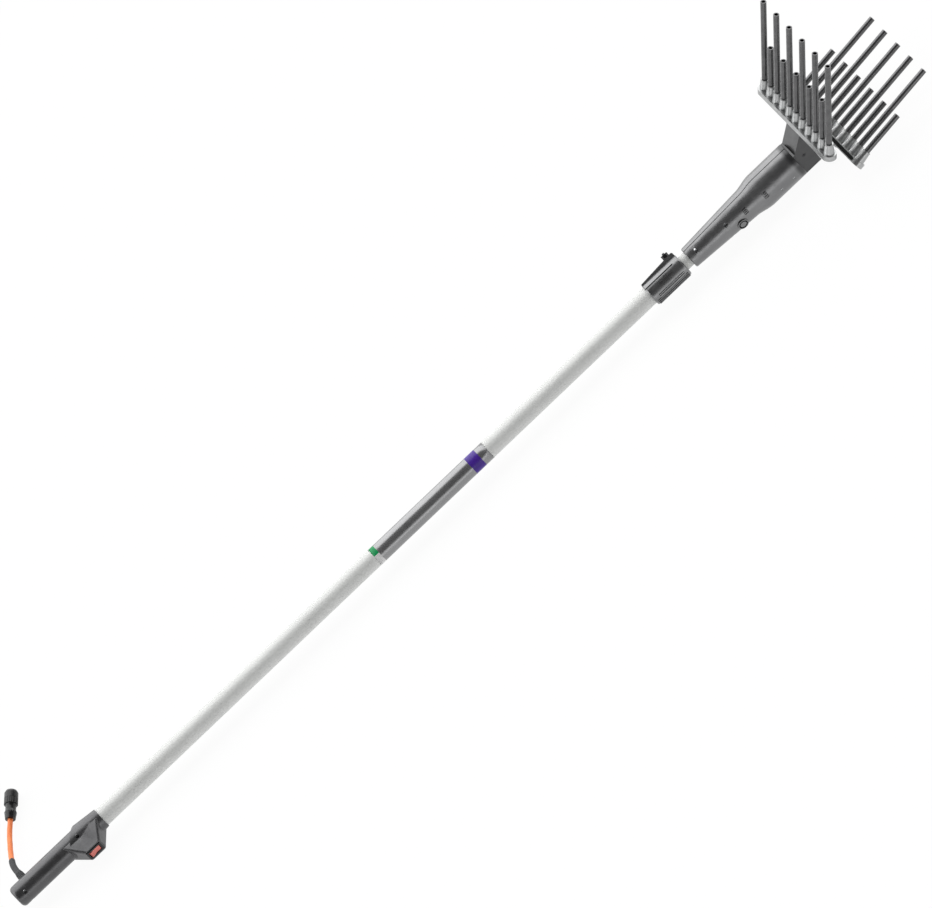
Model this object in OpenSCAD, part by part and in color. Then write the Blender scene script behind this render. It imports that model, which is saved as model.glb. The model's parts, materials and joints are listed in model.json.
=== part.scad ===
// Telescopic electric harvester with two swinging combs, lying on its head and grip.
// X runs along the pole towards the combs, Z is up, the pole axis is axis_z above the floor.

/* [Pole] */
// Outside diameter of the lower pole tube
pole_d = 35; // [33:0.5:40]
// Wall of the lower pole tube
pole_wall = 1.5; // [1:0.1:2]
// Bare pole between the handle and the clamp
pole_free_len = 1325; // [900:5:1800]
// Outside diameter of the sliding tube
inner_d = 28; // [25:0.5:29]
// Wall of the sliding tube
inner_wall = 1.5; // [1:0.1:2.5]
// Length of the sliding tube
inner_len = 1250; // [800:5:1450]
// Bare sliding tube between clamp and head when pushed in
stub_len = 14; // [8:1:40]

/* [Handle] */
// Length of the handle from its rear end to the bare pole
handle_len = 206; // [195:1:240]
// Thickness of the grip over the pole
grip_wall = 3.5; // [3:0.1:5]
// Wall of the hollow parts of the handle
handle_wall = 3; // [2:0.1:3.5]
// Middle of the step of the switch head, behind the front end of the handle
step_back = 61; // [58:1:70]
// How much the switch head swells over the grip
swell = 3.5; // [3:0.5:6]
// Distance of the switch face from the pole axis
switch_reach = 45; // [41:0.5:52]
// Length of the switch face along the pole
switch_face_len = 35; // [34:0.5:44]
// Height of the switch face
switch_face_h = 28; // [25:1:34]

/* [Switch] */
// Length of the rocker along the pole
rocker_len = 24; // [18:0.5:25]
// Width of the rocker
rocker_w = 12; // [9:0.5:13]
// Tilt of the rocker to either side
rocker_tilt = 8; // [4:1:9]

/* [Clamp] */
// Length of the clamp collar
collar_len = 80; // [76:1:100]
// Wall of the clamp collar over the pole
collar_wall = 5.5; // [4.5:0.1:8]
// Height of the collar ear over the pole axis at its upper end
ear_top = 29; // [27:0.5:34]
// Thickness of the clamp lever
lever_t = 3; // [2.5:0.1:4]

/* [Head] */
// Length of the round head body
head_len = 253; // [240:1:270]
// Diameter of the head body round the gears
head_d = 69; // [68:0.5:76]
// Diameter of the head at the end of the tapered motor part
waist_d = 57; // [55:0.5:60]
// Diameter of the head where the pole enters
tail_d = 42; // [41:0.5:48]
// Wall of the head shells
head_wall = 2.5; // [2:0.1:3]
// Width of the flat-sided neck
neck_w = 42; // [38:0.5:44]
// Side wall of the neck, which carries the comb pivots
neck_side_wall = 4.5; // [4:0.1:5]
// Height of the mouth of the neck above the pole axis
mouth_up = 56; // [54:0.5:60]
// Depth of the mouth of the neck below the pole axis
mouth_down = 28; // [26:0.5:32]
// Room for wires between the sliding tube and the motor
wire_room = 34; // [24:1:54]

/* [Drive] */
// Diameter of the motor
motor_d = 46; // [36:0.5:46.5]
// Length of the motor
motor_len = 68; // [50:1:69]
// Diameter of the gear case
case_d = 61; // [58:0.5:62]
// Tooth module of the gear set
gear_module = 1; // [0.9:0.05:1.05]
// Width of the gears
gear_w = 11; // [8:0.5:12]
// Swing of each comb between open and closed
swing = 20; // [10:1:24]

/* [Combs] */
// Number of rods on each comb
rod_count = 11; // [7:2:15]
// Spacing of the rods
rod_pitch = 21.5; // [20:0.5:26]
// Diameter of a rod
rod_d = 11; // [9:0.5:12]
// Free length of a long rod beyond its socket
rod_long = 172; // [120:1:220]
// Free length of a short rod beyond its socket
rod_short = 83; // [50:1:110]
// Height of a rod socket
socket_h = 21; // [16:0.5:26]
// Width of the comb plate
plate_w = 26; // [22:0.5:28]
// Depth of the comb plate
plate_t = 10; // [8:0.5:12]
// Distance from a comb pivot to the top of the sockets
comb_reach = 84; // [83:0.5:92]
// Distance between the two comb pivots
pivot_gap = 24; // [23:0.5:26]
// Lean of the upper comb from the pole axis
front_angle = 59; // [56:1:60]
// Lean of the lower comb from the pole axis
back_angle = 9; // [4:1:14]

/* [Cable] */
// Diameter of the supply cable
cable_d = 9.5; // [8:0.5:11]
// Diameter of the bend sleeve
sleeve_d = 11.5; // [10:0.5:13]
// Diameter of the plug ring
plug_d = 25; // [24.5:0.5:28]
// Length of the plug behind its front edge
plug_len = 57; // [50:1:70]

/* [Hidden] */
$fn = 64;
cut = 1;

// Radii
pole_r = pole_d / 2;
inner_r = inner_d / 2;
grip_r = pole_r + grip_wall;
switch_r = grip_r + swell;
collar_r = pole_r + collar_wall;
head_r = head_d / 2;
waist_r = waist_d / 2;
tail_r = tail_d / 2;
case_r = case_d / 2;
motor_r = motor_d / 2;
rod_r = rod_d / 2;

// Clearances
slide_gap = 0.06;
run_gap = 0.05;
loose_gap = 0.4;

// Places along the pole, from the rear end of the grip
pivot_over = 17;
lever_run = 30;
fork_clear = 8;
crank_pin_len = 10.5;
crank_disc_t = 7;
crank_gap = 1.5;
cover_web_len = 25;
bearing_step = 1;
ring_over = 4.5;
carrier_t = 4.5;
carrier_gap = 0.5;
gear_side_gap = 1.5;
web_t = 3;
pivot_p = head_len + pivot_over;
crank_pin_end = pivot_p - lever_run - fork_clear;
crank_p = crank_pin_end - crank_pin_len - crank_disc_t;
cover_web_end = crank_p - crank_gap;
cover_web_p = cover_web_end - cover_web_len;
ring_end = cover_web_p - bearing_step;
carrier_end = ring_end - ring_over;
carrier_p = carrier_end - carrier_t;
gear_end = carrier_p - carrier_gap;
gear_p = gear_end - gear_w;
motor_end = gear_p - gear_side_gap - web_t;
motor_p = motor_end - motor_len;
tube_in_head = motor_p - wire_room;
tip_reach = pivot_p + (comb_reach + rod_long) * cos(back_angle) + rod_r * sin(back_angle);
total_len = handle_len + pole_free_len + collar_len + stub_len + tip_reach;
axis_z = head_r;
x_grip = -total_len / 2;
x_pole = x_grip + handle_len;
x_collar = x_pole + pole_free_len;
x_head = x_collar + collar_len + stub_len;
x_pivot = x_head + pivot_p;

// Pole fittings
tube_start = 70;
collar_lip = 8;
bush_len = 40;
slider_len = 30;
wiper_t = 2.5;
x_tube = x_grip + tube_start;
x_tube_end = x_collar + collar_len - collar_lip;
x_inner = x_head + tube_in_head - inner_len;

// Handle shells
grip_round = 8;
step_lean = 40;
swell_len = 90;
grip_end_back = 31;
taper_len = 46;
mouth_lip = 2;
wire_way = 2;
wire_way_back = 49;
wire_way_len = 26;
rear_r = grip_r - handle_wall;
bulge_root_y = 10;
bulge_root_len = 82;
bulge_root_h = 40;
bulge_root_back = 47;
bulge_round = 5;
bulge_skin = 1;
face_over = 1.5;
switch_back = 47.5;
switch_u = handle_len - switch_back;
x_switch = x_grip + switch_u;
switch_z = -1;

// Control board in the rear of the grip
board_start = 8;
board_len = 50;
board_t = 1.6;
board_drop = 7.8;
board_fit = 0.2;
chip_len = 14;
chip_w = 9;
chip_h = 3;

// Shell screws: shank, head and boss radii
screw_r = 1.5;
screw_head_r = 3;
screw_head_h = 2.6;
recess_gap = 0.4;
boss_r = 4;
rear_screw_u = 20;
rear_screw_seat = 9.5;
switch_screw_back = 53;
switch_screw_u = handle_len - switch_screw_back;
switch_screw_seat = 7.5;
rear_screw = [rear_screw_u, rear_r - boss_r, rear_screw_seat];
switch_screw = [switch_screw_u, pole_r + boss_r, switch_screw_seat];
screw_bite = 8;
pole_screw_back = 85;
pole_screw_u = handle_len - pole_screw_back;
pole_screw_theta = 154;
pole_screw_sink = 1.6;

// Switch
switch_wall = 1.8;
switch_body_depth = 18;
bezel_t = 1.5;
bezel_lip = 1.5;
rocker_depth = 5;
rocker_rise = 5.2;
rocker_base = 4;
rocker_gap = 0.4;
rocker_pin_r = 1.2;
rocker_pin_len = 1.4;
rocker_room = 7;
body_len = rocker_len + 2 * rocker_gap + 2 * switch_wall;
body_h = rocker_w + 2 * rocker_gap + 2 * switch_wall;

// Clamp
ear_theta = 42;
ear_low = 24;
ear_w = 20;
ear_root_share = 0.8;
slit_theta = 98;
slit_w = 2.5;
slit_stop = 6;
collar_chamfer = 2;
lever_from = 113;
lever_to = 153;
hinge_theta = 162;
hinge_over = 3.6;
knuckle_r = 3.2;
knuckle_web = 2.4;
lever_web_in = 0.5;
lever_web_out = 2.9;
lever_web_len = 5.5;
hinge_pin_r = 1.6;
knuckle_len = 13;
knuckle_at = [12, 58];
lever_start = 5;
lever_end_gap = 4;
lever_gap = 0.5;
tab_len = 30;
tab_inset = 1.5;
tab_t = 2.2;
clamp_rib_t = 1.6;
clamp_rib_inset = 4;
ear_inset = 1;
clamp_rib_h = 1.2;
clamp_rib_count = 7;
clamp_rib_from = 180;
clamp_rib_to = 250;
stud_u = 66;
stud_r = 3;
stud_top = 38;
nut_r = 7;
nut_h = 8;
stud_sink = 5;
nut_spot = 0.8;
nut_room = 0.6;
nut_seat = ear_low + (ear_top - ear_low) * stud_u / (collar_len - collar_chamfer) - nut_spot;

// Head shells
tail_chamfer = 1.5;
waist_back = 27;
shoulder_over = 13;
waist_p = motor_end - waist_back;
shoulder_p = motor_end + shoulder_over;
shoulder_steps = 8;
shoulder_round = 0.8;
neck_root = 23;
neck_p = head_len - neck_root;
mouth_over = 35;
mouth_p = head_len + mouth_over;
flare_up = 27;
flare_wall = 3;
mouth_edge = 2;
seam_w = 3.2;
seam_depth = 0.8;
rib_t = 4;
rib_inset = 4;
skirt_back = 17;
case_end = head_len - skirt_back;
screw_clear = 1;
tail_screw_u = 18;
tail_screw_seat = 9;
motor_screw_back = 8;
motor_screw_z = 17;
motor_screw_seat = 13;
tail_screw = [tail_screw_u, inner_r + screw_r + screw_clear, tail_screw_seat];
motor_screw = [motor_p - motor_screw_back, motor_screw_z, motor_screw_seat];
case_screw_in = 14;
case_screw_out = 6;
case_screw_r = 2;
case_screw_sink = 1;
pivot_screw_head_r = 3.2;
pivot_screw_head_h = 1.5;

// Motor and gear set
cap_len = 10;
cap_step = 1;
shaft_r = 2.5;
can_wall = 7;
can_face = 6;
rotor_gap = 1;
rotor_end_gap = 4;
terminal_w = 6;
terminal_h = 4;
terminal_t = 1;
terminal_y = 9;
sun_teeth = 12;
planet_teeth = 18;
planet_count = 3;
ring_teeth = sun_teeth + 2 * planet_teeth;
pressure = 20;
tip_share = 0.8;
root_share = 1.05;
slack_share = 0.16;
orbit_r = (sun_teeth + planet_teeth) * gear_module / 2;
web_hole_r = 8;
planet_pin_r = 2.5;
carrier_rim = 3;
carrier_r = orbit_r + planet_pin_r + carrier_rim;
crank_shaft_r = 8;
bearing_r = 14;
bearing_w = 9;
skirt_t = 4;
crank_disc_r = 15;
crank_spigot_r = 6;
crank_cap_t = 1.5;
crank_pin_r = 4;
roller_r = 8;
roller_gap = 0.5;

// Comb arms
lever_rise = pivot_gap / 2;
lever_len = norm([lever_run, lever_rise]);
crank_throw = lever_len * sin(swing / 2) * lever_run / lever_len;
pivot_shaft_r = 5;
bush_t = 1.5;
bush_w = 12;
hub_r = 10;
spigot_r = 8;
hub_side_gap = 0.5;
hub_half = neck_w / 2 - neck_side_wall - hub_side_gap;
comb_gear_w = 7;
comb_gear_teeth = 20;
comb_gear_module = pivot_gap / comb_gear_teeth;
arm_t = 10;
arm_root_half = 7;
arm_half = 12;
arm_spread = [15, 27];
arm_pocket = 3.5;
arm_rim = 4;
flange_t = 4;
flange_half = 40;
flange_w = 16;
lever_half = 7;
lever_bar_t = 9;
prong_t = 3;
prong_in = 3;
prong_out = 6;
fork_gap = 0.3;
bolt_r = 2.5;
bolt_head_r = 4.2;
bolt_head_h = 4;
shaft_end_wall = 2.5;

// Comb plates
plate_skin = 4;
plate_skirt = 2.5;
socket_wall = 1.8;
socket_top_r = rod_r + socket_wall;
socket_base_r = 9.6;
socket_lip = 2;
socket_lip_over = 0.5;
socket_floor = 3;
rod_wall = 2;
plate_x = comb_reach - socket_h - plate_t;

// Cable gland, sleeve, cable and plug
gland_r = 6.5;
gland_sink = 2;
gland_seat_y = grip_r - gland_sink;
gland_seat_r = 7.6;
gland_tip_r = 6.3;
gland_reach = 4;
gland_inner_y = rear_r - gland_reach;
gland_rib_t = 1.6;
gland_rib_h = 0.5;
gland_rib_step = 4;
gland_rib_count = 4;
route = [
    [33, 42, 34.5], [33, 50, 34.4], [34, 60, 33], [36, 70, 30.4], [39, 80, 27],
    [42, 90, 23.6], [46, 100, 20.6], [50, 110, 18], [55, 120, 15.9], [60, 130, 14.3],
    [66, 140, 13.2], [72, 149, 12.7], [79, 158, 12.5], [85, 166, 12.5]];
gland_u = route[0][0];
gland_tip_y = route[0][1];
sleeve_last = 4;
cord_sides = 12;
plug_r = plug_d / 2;
plug_yaw = 53.13;
nut_len = 13;
nut_rear_r = 9.4;
nut_front_r = 11.2;
nut_flute_r = 1.1;
nut_flutes = 16;
plug_body_r = 10.6;
plug_neck_r = 9.6;
ring_back = 29;
ring_flute_r = 1.2;
ring_flutes = 18;
ring_flute_len = 12;
socket_r = 9.2;
socket_depth = 14;
ring_nose = 2.2;
insert_r = 8;
insert_len = 12;
contact_r = 1.6;
contact_bore_r = 1;
contact_orbit = 4.4;
contact_count = 3;

// Local Z runs along the pole, local X points down, local Y stays
module on_axis(x) translate([x, 0, axis_z]) rotate([0, 90, 0]) children();

// Local Z points out from the pole axis at angle theta from +Y towards +Z
module radial(x, theta) translate([x, 0, axis_z]) rotate([theta - 90, 0, 0]) children();

// Local Z runs along +Y from a place on the part's middle plane
module across(x, z) translate([x, 0, axis_z + z]) rotate([-90, 0, 0]) children();

module tube(r_out, r_in, len) {
    difference() {
        cylinder(r = r_out, h = len);
        translate([0, 0, -cut]) cylinder(r = r_in, h = len + 2 * cut);
    }
}

// Half of a shell: side 1 keeps +Y, side -1 keeps -Y
module half(side) {
    intersection() {
        children();
        translate([-total_len, side > 0 ? 0 : -total_len, -total_len])
            cube([2 * total_len, total_len, 2 * total_len]);
    }
}

// A shell screw across the part with its head on the -Y side
module shell_screw(at, x0, side) {
    across(x0 + at[0], side * at[1]) translate([0, 0, -at[2]]) {
        cylinder(r = screw_r, h = at[2] + screw_bite);
        translate([0, 0, -screw_head_h]) cylinder(r = screw_head_r, h = screw_head_h);
    }
}

module shell_screw_hole(at, x0, side, reach) {
    across(x0 + at[0], side * at[1]) translate([0, 0, -at[2]]) {
        cylinder(r = screw_r + run_gap, h = at[2] + screw_bite);
        translate([0, 0, -reach]) cylinder(r = screw_head_r + recess_gap, h = reach);
    }
}

module shell_boss(at, x0, side, reach)
    across(x0 + at[0], side * at[1]) translate([0, 0, -reach]) cylinder(r = boss_r, h = 2 * reach);

// Outline of a gear with a tooth on the X axis
function gear_outline(teeth, size, tip, root, slack) = [
    for (i = [0:teeth - 1])
        for (k = [[-1, root], [-1, tip], [1, tip], [1, root]])
            let (
                pitch_r = teeth * size / 2,
                r = pitch_r + k[1],
                half_w = PI * size / 4 * (1 - slack) - k[1] * tan(pressure),
                a = i * 360 / teeth + k[0] * half_w / r * 180 / PI
            )
            [r * cos(a), r * sin(a)]];

module gear(teeth, size, w, turn) {
    rotate(turn) linear_extrude(w)
        polygon(gear_outline(teeth, size, tip_share * size, -root_share * size, slack_share));
}

// Pole

module pole_tube()
    color("lightgray") on_axis(x_tube) tube(pole_r, pole_r - pole_wall, x_tube_end - x_tube);

module pole_bush() {
    color("dimgray") on_axis(x_tube_end - bush_len)
        tube(pole_r - pole_wall, inner_r + slide_gap, bush_len);
}

module collar_wiper()
    color("black") on_axis(x_tube_end) tube(inner_r + wiper_t, inner_r + slide_gap, collar_lip);

module sliding_tube()
    color("gainsboro") on_axis(x_inner) tube(inner_r, inner_r - inner_wall, inner_len);

module tube_slider()
    color("dimgray") on_axis(x_inner) tube(pole_r - pole_wall - slide_gap, inner_r, slider_len);

// Handle

module handle_profile() {
    polygon(concat(
        [[0, 0]],
        [for (a = [0:15:90])
            [grip_r - grip_round + grip_round * sin(a), grip_round - grip_round * cos(a)]],
        [[grip_r, handle_len - grip_end_back],
         [0, handle_len - grip_end_back]]));
}

// Switch head round the pole, which starts at a step slanted across the grip
module switch_swell() {
    intersection() {
        on_axis(x_pole - swell_len) rotate_extrude() polygon([
            [0, 0],
            [switch_r, 0],
            [switch_r, swell_len - taper_len],
            [pole_r + mouth_lip, swell_len],
            [0, swell_len]]);
        translate([x_pole - step_back, 0, 0]) rotate(-step_lean)
            translate([0, -handle_len, 0]) cube([handle_len, 2 * handle_len, handle_len]);
    }
}

// Rounded slab standing on local Z
module slab(len, h, t) {
    for (sx = [-1, 1], sz = [-1, 1])
        translate([sx * (len / 2 - bulge_round), sz * (h / 2 - bulge_round), 0])
            cylinder(r = bulge_round, h = t, $fn = 32);
}

module switch_bulge() {
    hull() {
        across(x_switch + face_over, switch_z) translate([0, 0, -switch_reach])
            slab(switch_face_len, switch_face_h, bulge_skin);
        across(x_pole - bulge_root_back, 0) translate([0, 0, -bulge_root_y])
            slab(bulge_root_len, bulge_root_h, bulge_skin);
    }
}

module handle_outer() {
    on_axis(x_grip) rotate_extrude() handle_profile();
    switch_swell();
    switch_bulge();
}

module handle_hollow() {
    on_axis(x_grip + handle_wall) cylinder(r = rear_r, h = tube_start - handle_wall);
    on_axis(x_tube) cylinder(r = pole_r, h = handle_len);
    on_axis(x_pole - wire_way_back) cylinder(r = pole_r + wire_way, h = wire_way_len);
}

module switch_pocket() {
    translate([x_switch - body_len / 2, -switch_reach - cut, axis_z + switch_z - body_h / 2])
        cube([body_len, switch_reach, body_h]);
}

module handle_shell(side) {
    half(side) difference() {
        handle_outer();
        difference() {
            handle_hollow();
            intersection() {
                handle_outer();
                union() for (z = [-1, 1]) {
                    shell_boss(rear_screw, x_grip, z, grip_r);
                    shell_boss(switch_screw, x_grip, z, switch_r);
                }
            }
        }
        switch_pocket();
        on_axis(x_tube) cylinder(r = pole_r, h = handle_len);
        for (z = [-1, 1]) {
            shell_screw_hole(rear_screw, x_grip, z, grip_r);
            shell_screw_hole(switch_screw, x_grip, z, switch_r);
        }
        radial(x_grip + pole_screw_u, pole_screw_theta) translate([0, 0, pole_r])
            cylinder(r = screw_head_r + recess_gap, h = grip_r);
        across(x_grip + gland_u, 0) cylinder(r = gland_r, h = grip_r + cut);
        across(x_grip + gland_u, 0) translate([0, 0, gland_seat_y])
            cylinder(r = gland_seat_r, h = grip_r);
    }
}

module handle_shell_right() color("dimgray") handle_shell(-1);
module handle_shell_left() color("dimgray") handle_shell(1);

module handle_screws() {
    color("silver") {
        for (z = [-1, 1]) {
            shell_screw(rear_screw, x_grip, z);
            shell_screw(switch_screw, x_grip, z);
        }
        radial(x_grip + pole_screw_u, pole_screw_theta) translate([0, 0, pole_r])
            cylinder(r = screw_head_r, h = grip_wall - pole_screw_sink);
    }
}

module control_board() {
    half_w = sqrt(pow(rear_r, 2) - pow(board_drop + board_t, 2)) - board_fit;
    color("seagreen") translate([x_grip + board_start, -half_w, axis_z - board_drop - board_t])
        cube([board_len, 2 * half_w, board_t]);
    color("black") for (i = [0, 1])
        translate([x_grip + board_start + (1 + 2 * i) * board_len / 4 - chip_len / 2,
            -half_w / 2 - chip_w / 2, axis_z - board_drop])
            cube([chip_len, chip_w, chip_h]);
}

// Switch

module at_rocker() translate([x_switch, rocker_depth - switch_reach, axis_z + switch_z]) children();

module switch_body() {
    open_len = rocker_len + 2 * rocker_gap;
    open_h = rocker_w + 2 * rocker_gap;
    color("black") difference() {
        union() {
            translate([x_switch - body_len / 2, -switch_reach - bezel_t, axis_z + switch_z - body_h / 2])
                cube([body_len, switch_body_depth + bezel_t, body_h]);
            translate([x_switch - body_len / 2 - bezel_lip, -switch_reach - bezel_t,
                axis_z + switch_z - body_h / 2 - bezel_lip])
                cube([body_len + 2 * bezel_lip, bezel_t, body_h + 2 * bezel_lip]);
        }
        translate([x_switch - open_len / 2, -switch_reach - bezel_t - cut,
            axis_z + switch_z - open_h / 2])
            cube([open_len, bezel_t + cut + rocker_depth + rocker_room, open_h]);
        at_rocker() translate([0, 0, -open_h / 2 - rocker_pin_len])
            cylinder(r = rocker_pin_r + run_gap, h = open_h + 2 * rocker_pin_len);
    }
}

// Dished rocker cut to a round of its own length about the pivot
module switch_rocker() {
    half_len = rocker_len / 2;
    pin_span = rocker_w + 2 * rocker_gap + 2 * rocker_pin_len - 2 * run_gap;
    color("tomato") at_rocker() rotate(rocker_tilt) {
        translate([0, 0, -rocker_w / 2]) intersection() {
            cylinder(r = half_len, h = rocker_w);
            linear_extrude(rocker_w) polygon([
                [-half_len, -rocker_rise - half_len * tan(rocker_tilt)],
                [0, -rocker_rise],
                [half_len, -rocker_rise - half_len * tan(rocker_tilt)],
                [half_len, rocker_base],
                [-half_len, rocker_base]]);
        }
        translate([0, 0, -pin_span / 2]) cylinder(r = rocker_pin_r, h = pin_span);
    }
}

// Clamp

module ear_profile() {
    polygon([
        [ear_inset, ear_root_share * pole_r],
        [ear_inset, ear_low],
        [collar_len - ear_inset - collar_chamfer, ear_top],
        [collar_len - ear_inset, ear_top - collar_chamfer],
        [collar_len - ear_inset, ear_root_share * pole_r]]);
}

module hinge_place() {
    radial(x_collar, hinge_theta) translate([0, 0, collar_r + hinge_over])
        rotate([0, 90, 0]) children();
}

module clamp_collar() {
    color("dimgray") difference() {
        union() {
            on_axis(x_collar) rotate_extrude() polygon([
                [0, 0],
                [collar_r - collar_chamfer, 0],
                [collar_r, collar_chamfer],
                [collar_r, collar_len - collar_chamfer],
                [collar_r - collar_chamfer, collar_len],
                [0, collar_len]]);
            radial(x_collar, ear_theta) rotate([90, 0, 0])
                linear_extrude(ear_w, center = true) ear_profile();
            for (u = knuckle_at) hinge_place() translate([0, 0, u]) {
                cylinder(r = knuckle_r, h = knuckle_len);
                translate([0, -knuckle_web, 0])
                    cube([hinge_over + collar_wall / 2, 2 * knuckle_web, knuckle_len]);
            }
            for (i = [0:clamp_rib_count - 1])
                let (theta = clamp_rib_from + (clamp_rib_to - clamp_rib_from) * i / (clamp_rib_count - 1))
                radial(x_collar + clamp_rib_inset, theta)
                    translate([0, -clamp_rib_t / 2, pole_r + collar_wall / 2])
                    cube([collar_len - 2 * clamp_rib_inset, clamp_rib_t, collar_wall / 2 + clamp_rib_h]);
        }
        on_axis(x_collar) translate([0, 0, -cut]) cylinder(r = pole_r, h = collar_len - collar_lip + cut);
        on_axis(x_collar) cylinder(r = inner_r + wiper_t, h = collar_len + cut);
        radial(x_collar, slit_theta) translate([-cut, -slit_w / 2, 0])
            cube([collar_len - collar_lip - slit_stop + cut, slit_w, ear_top]);
        hinge_place() translate([0, 0, -cut]) cylinder(r = hinge_pin_r, h = collar_len + 2 * cut);
        radial(x_collar + stud_u, ear_theta) translate([0, 0, pole_r + collar_wall - stud_sink])
            cylinder(r = stud_r, h = ear_top);
        radial(x_collar + stud_u, ear_theta) translate([0, 0, nut_seat])
            cylinder(r = nut_r + nut_room, h = ear_top);
    }
}

// Ring sector in the local XY plane of the collar, angles as theta
module sector(r_in, r_out, from, to) {
    reach = 2 * r_out;
    mid = (from + to) / 2;
    intersection() {
        difference() {
            circle(r = r_out);
            circle(r = r_in);
        }
        polygon([[0, 0], [-reach * sin(from), reach * cos(from)],
            [-reach * sin(mid), reach * cos(mid)], [-reach * sin(to), reach * cos(to)]]);
    }
}

module clamp_lever() {
    r_in = collar_r + lever_gap;
    mid_start = knuckle_at[0] + knuckle_len + lever_gap;
    mid_end = knuckle_at[1] - lever_gap;
    color("black") difference() {
        union() {
            on_axis(x_collar + lever_start) linear_extrude(collar_len - lever_start - lever_end_gap)
                sector(r_in, r_in + lever_t, lever_from, lever_to);
            hinge_place() translate([0, 0, mid_start]) {
                cylinder(r = knuckle_r, h = mid_end - mid_start);
                translate([lever_web_in, 0, 0])
                    cube([lever_web_out - lever_web_in, lever_web_len, mid_end - mid_start]);
            }
            on_axis(x_collar + (collar_len - tab_len) / 2) linear_extrude(tab_len)
                sector(r_in + lever_t / 2, r_in + lever_t + tab_t, lever_from + tab_inset, (3 * lever_from + lever_to) / 4);
        }
        hinge_place() translate([0, 0, -cut]) cylinder(r = hinge_pin_r + run_gap, h = collar_len + 2 * cut);
    }
}

module clamp_hinge_pin() {
    len = knuckle_at[1] + knuckle_len - knuckle_at[0];
    color("silver") hinge_place() translate([0, 0, knuckle_at[0]]) cylinder(r = hinge_pin_r, h = len);
}

module clamp_stud() {
    color("silver") radial(x_collar + stud_u, ear_theta) {
        base = pole_r + collar_wall - stud_sink;
        translate([0, 0, base]) cylinder(r = stud_r, h = stud_top - base);
    }
}

module clamp_nut() {
    color("black") radial(x_collar + stud_u, ear_theta) translate([0, 0, nut_seat]) difference() {
        cylinder(r = nut_r, h = nut_h, $fn = 6);
        translate([0, 0, -cut]) cylinder(r = stud_r, h = nut_h + 2 * cut);
    }
}

// Head shells

function case_screw_p() = [ring_end + case_screw_in, case_end - case_screw_out];
function taper(u) = tail_r + (waist_r - tail_r) * (u - tail_chamfer) / (waist_p - tail_chamfer);
function shoulder(t) = waist_r + (head_r - waist_r) * (1 - cos(180 * t)) / 2;

module head_profile(inset, start) {
    polygon(concat(
        start == 0 ?
            [[0, 0], [tail_r - inset - tail_chamfer, 0], [tail_r - inset, tail_chamfer]] :
            [[0, start], [taper(start) - inset, start]],
        [for (i = [0:shoulder_steps])
            [shoulder(i / shoulder_steps) - inset,
                waist_p + (shoulder_p - waist_p) * i / shoulder_steps]],
        [[head_r - inset, head_len - shoulder_round - inset],
         [head_r - shoulder_round - inset, head_len - inset],
         [0, head_len - inset]]));
}

module neck_outline() {
    polygon([
        [neck_p, -mouth_down],
        [mouth_p, -mouth_down],
        [mouth_p, mouth_up],
        [mouth_p - mouth_edge, mouth_up],
        [mouth_p - mouth_edge - (mouth_up - flare_up), flare_up],
        [neck_p, flare_up]]);
}

module neck_hollow_outline() {
    up = mouth_up - flare_wall;
    low = flare_up - flare_wall * sqrt(2);
    foot = mouth_p - mouth_edge - (mouth_up - flare_up);
    polygon([
        [neck_p, flare_wall - mouth_down],
        [mouth_p + cut, flare_wall - mouth_down],
        [mouth_p + cut, up],
        [foot + up - low, up],
        [foot, low],
        [neck_p, low]]);
}

module in_neck(w)
    translate([x_head, 0, axis_z]) rotate([90, 0, 0]) linear_extrude(w, center = true) children();

module head_outer() {
    on_axis(x_head) rotate_extrude() head_profile(0, 0);
    in_neck(neck_w) neck_outline();
}

// Shallow groove along the parting line of the two shells
module seam_groove() {
    difference() {
        translate([x_head + tail_chamfer, -seam_w / 2, axis_z - head_r - cut])
            cube([head_len - shoulder_round - tail_chamfer, seam_w, head_d + 2 * cut]);
        on_axis(x_head) rotate_extrude() head_profile(seam_depth, 0);
    }
}

module head_hollow() {
    difference() {
        on_axis(x_head) rotate_extrude() head_profile(head_wall, tube_in_head + head_wall);
        on_axis(x_head) {
            for (u = [motor_p + rib_inset, motor_end - rib_inset - rib_t])
                translate([0, 0, u]) tube(head_r, motor_r, rib_t);
            translate([0, 0, motor_end]) tube(head_r + cut, case_r, case_end - motor_end);
        }
    }
    on_axis(x_head) translate([0, 0, -cut]) cylinder(r = inner_r, h = tube_in_head + cut);
    on_axis(x_head) cylinder(r = inner_r - inner_wall, h = motor_p);
    on_axis(x_head + motor_end) cylinder(r = case_r, h = case_end - motor_end);
    in_neck(neck_w - 2 * neck_side_wall) neck_hollow_outline();
}

module pivot_hole(side) {
    len = neck_w - 2 * shaft_end_wall;
    across(x_pivot, side * pivot_gap / 2) translate([0, 0, -len / 2])
        cylinder(r = pivot_shaft_r, h = len);
    across(x_pivot, side * pivot_gap / 2) mirror([0, 0, side > 0 ? 1 : 0])
        cylinder(r = pivot_screw_head_r + recess_gap, h = neck_w);
}

module head_shell(side) {
    half(side) difference() {
        head_outer();
        difference() {
            head_hollow();
            intersection() {
                head_outer();
                union() for (z = [-1, 1])
                    shell_boss(motor_screw, x_head, z, waist_r);
            }
        }
        for (z = [-1, 1]) {
            shell_screw_hole(tail_screw, x_head, z, tail_r);
            shell_screw_hole(motor_screw, x_head, z, waist_r);
            pivot_hole(z);
        }
        seam_groove();
        for (u = case_screw_p()) across(x_head + u, 0) translate([0, 0, -head_r])
            cylinder(r = case_screw_r, h = head_d);
    }
}

module head_shell_right() color("dimgray") head_shell(-1);
module head_shell_left() color("dimgray") head_shell(1);

module head_screws() {
    color("silver") for (z = [-1, 1]) {
        shell_screw(tail_screw, x_head, z);
        shell_screw(motor_screw, x_head, z);
    }
}

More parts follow.
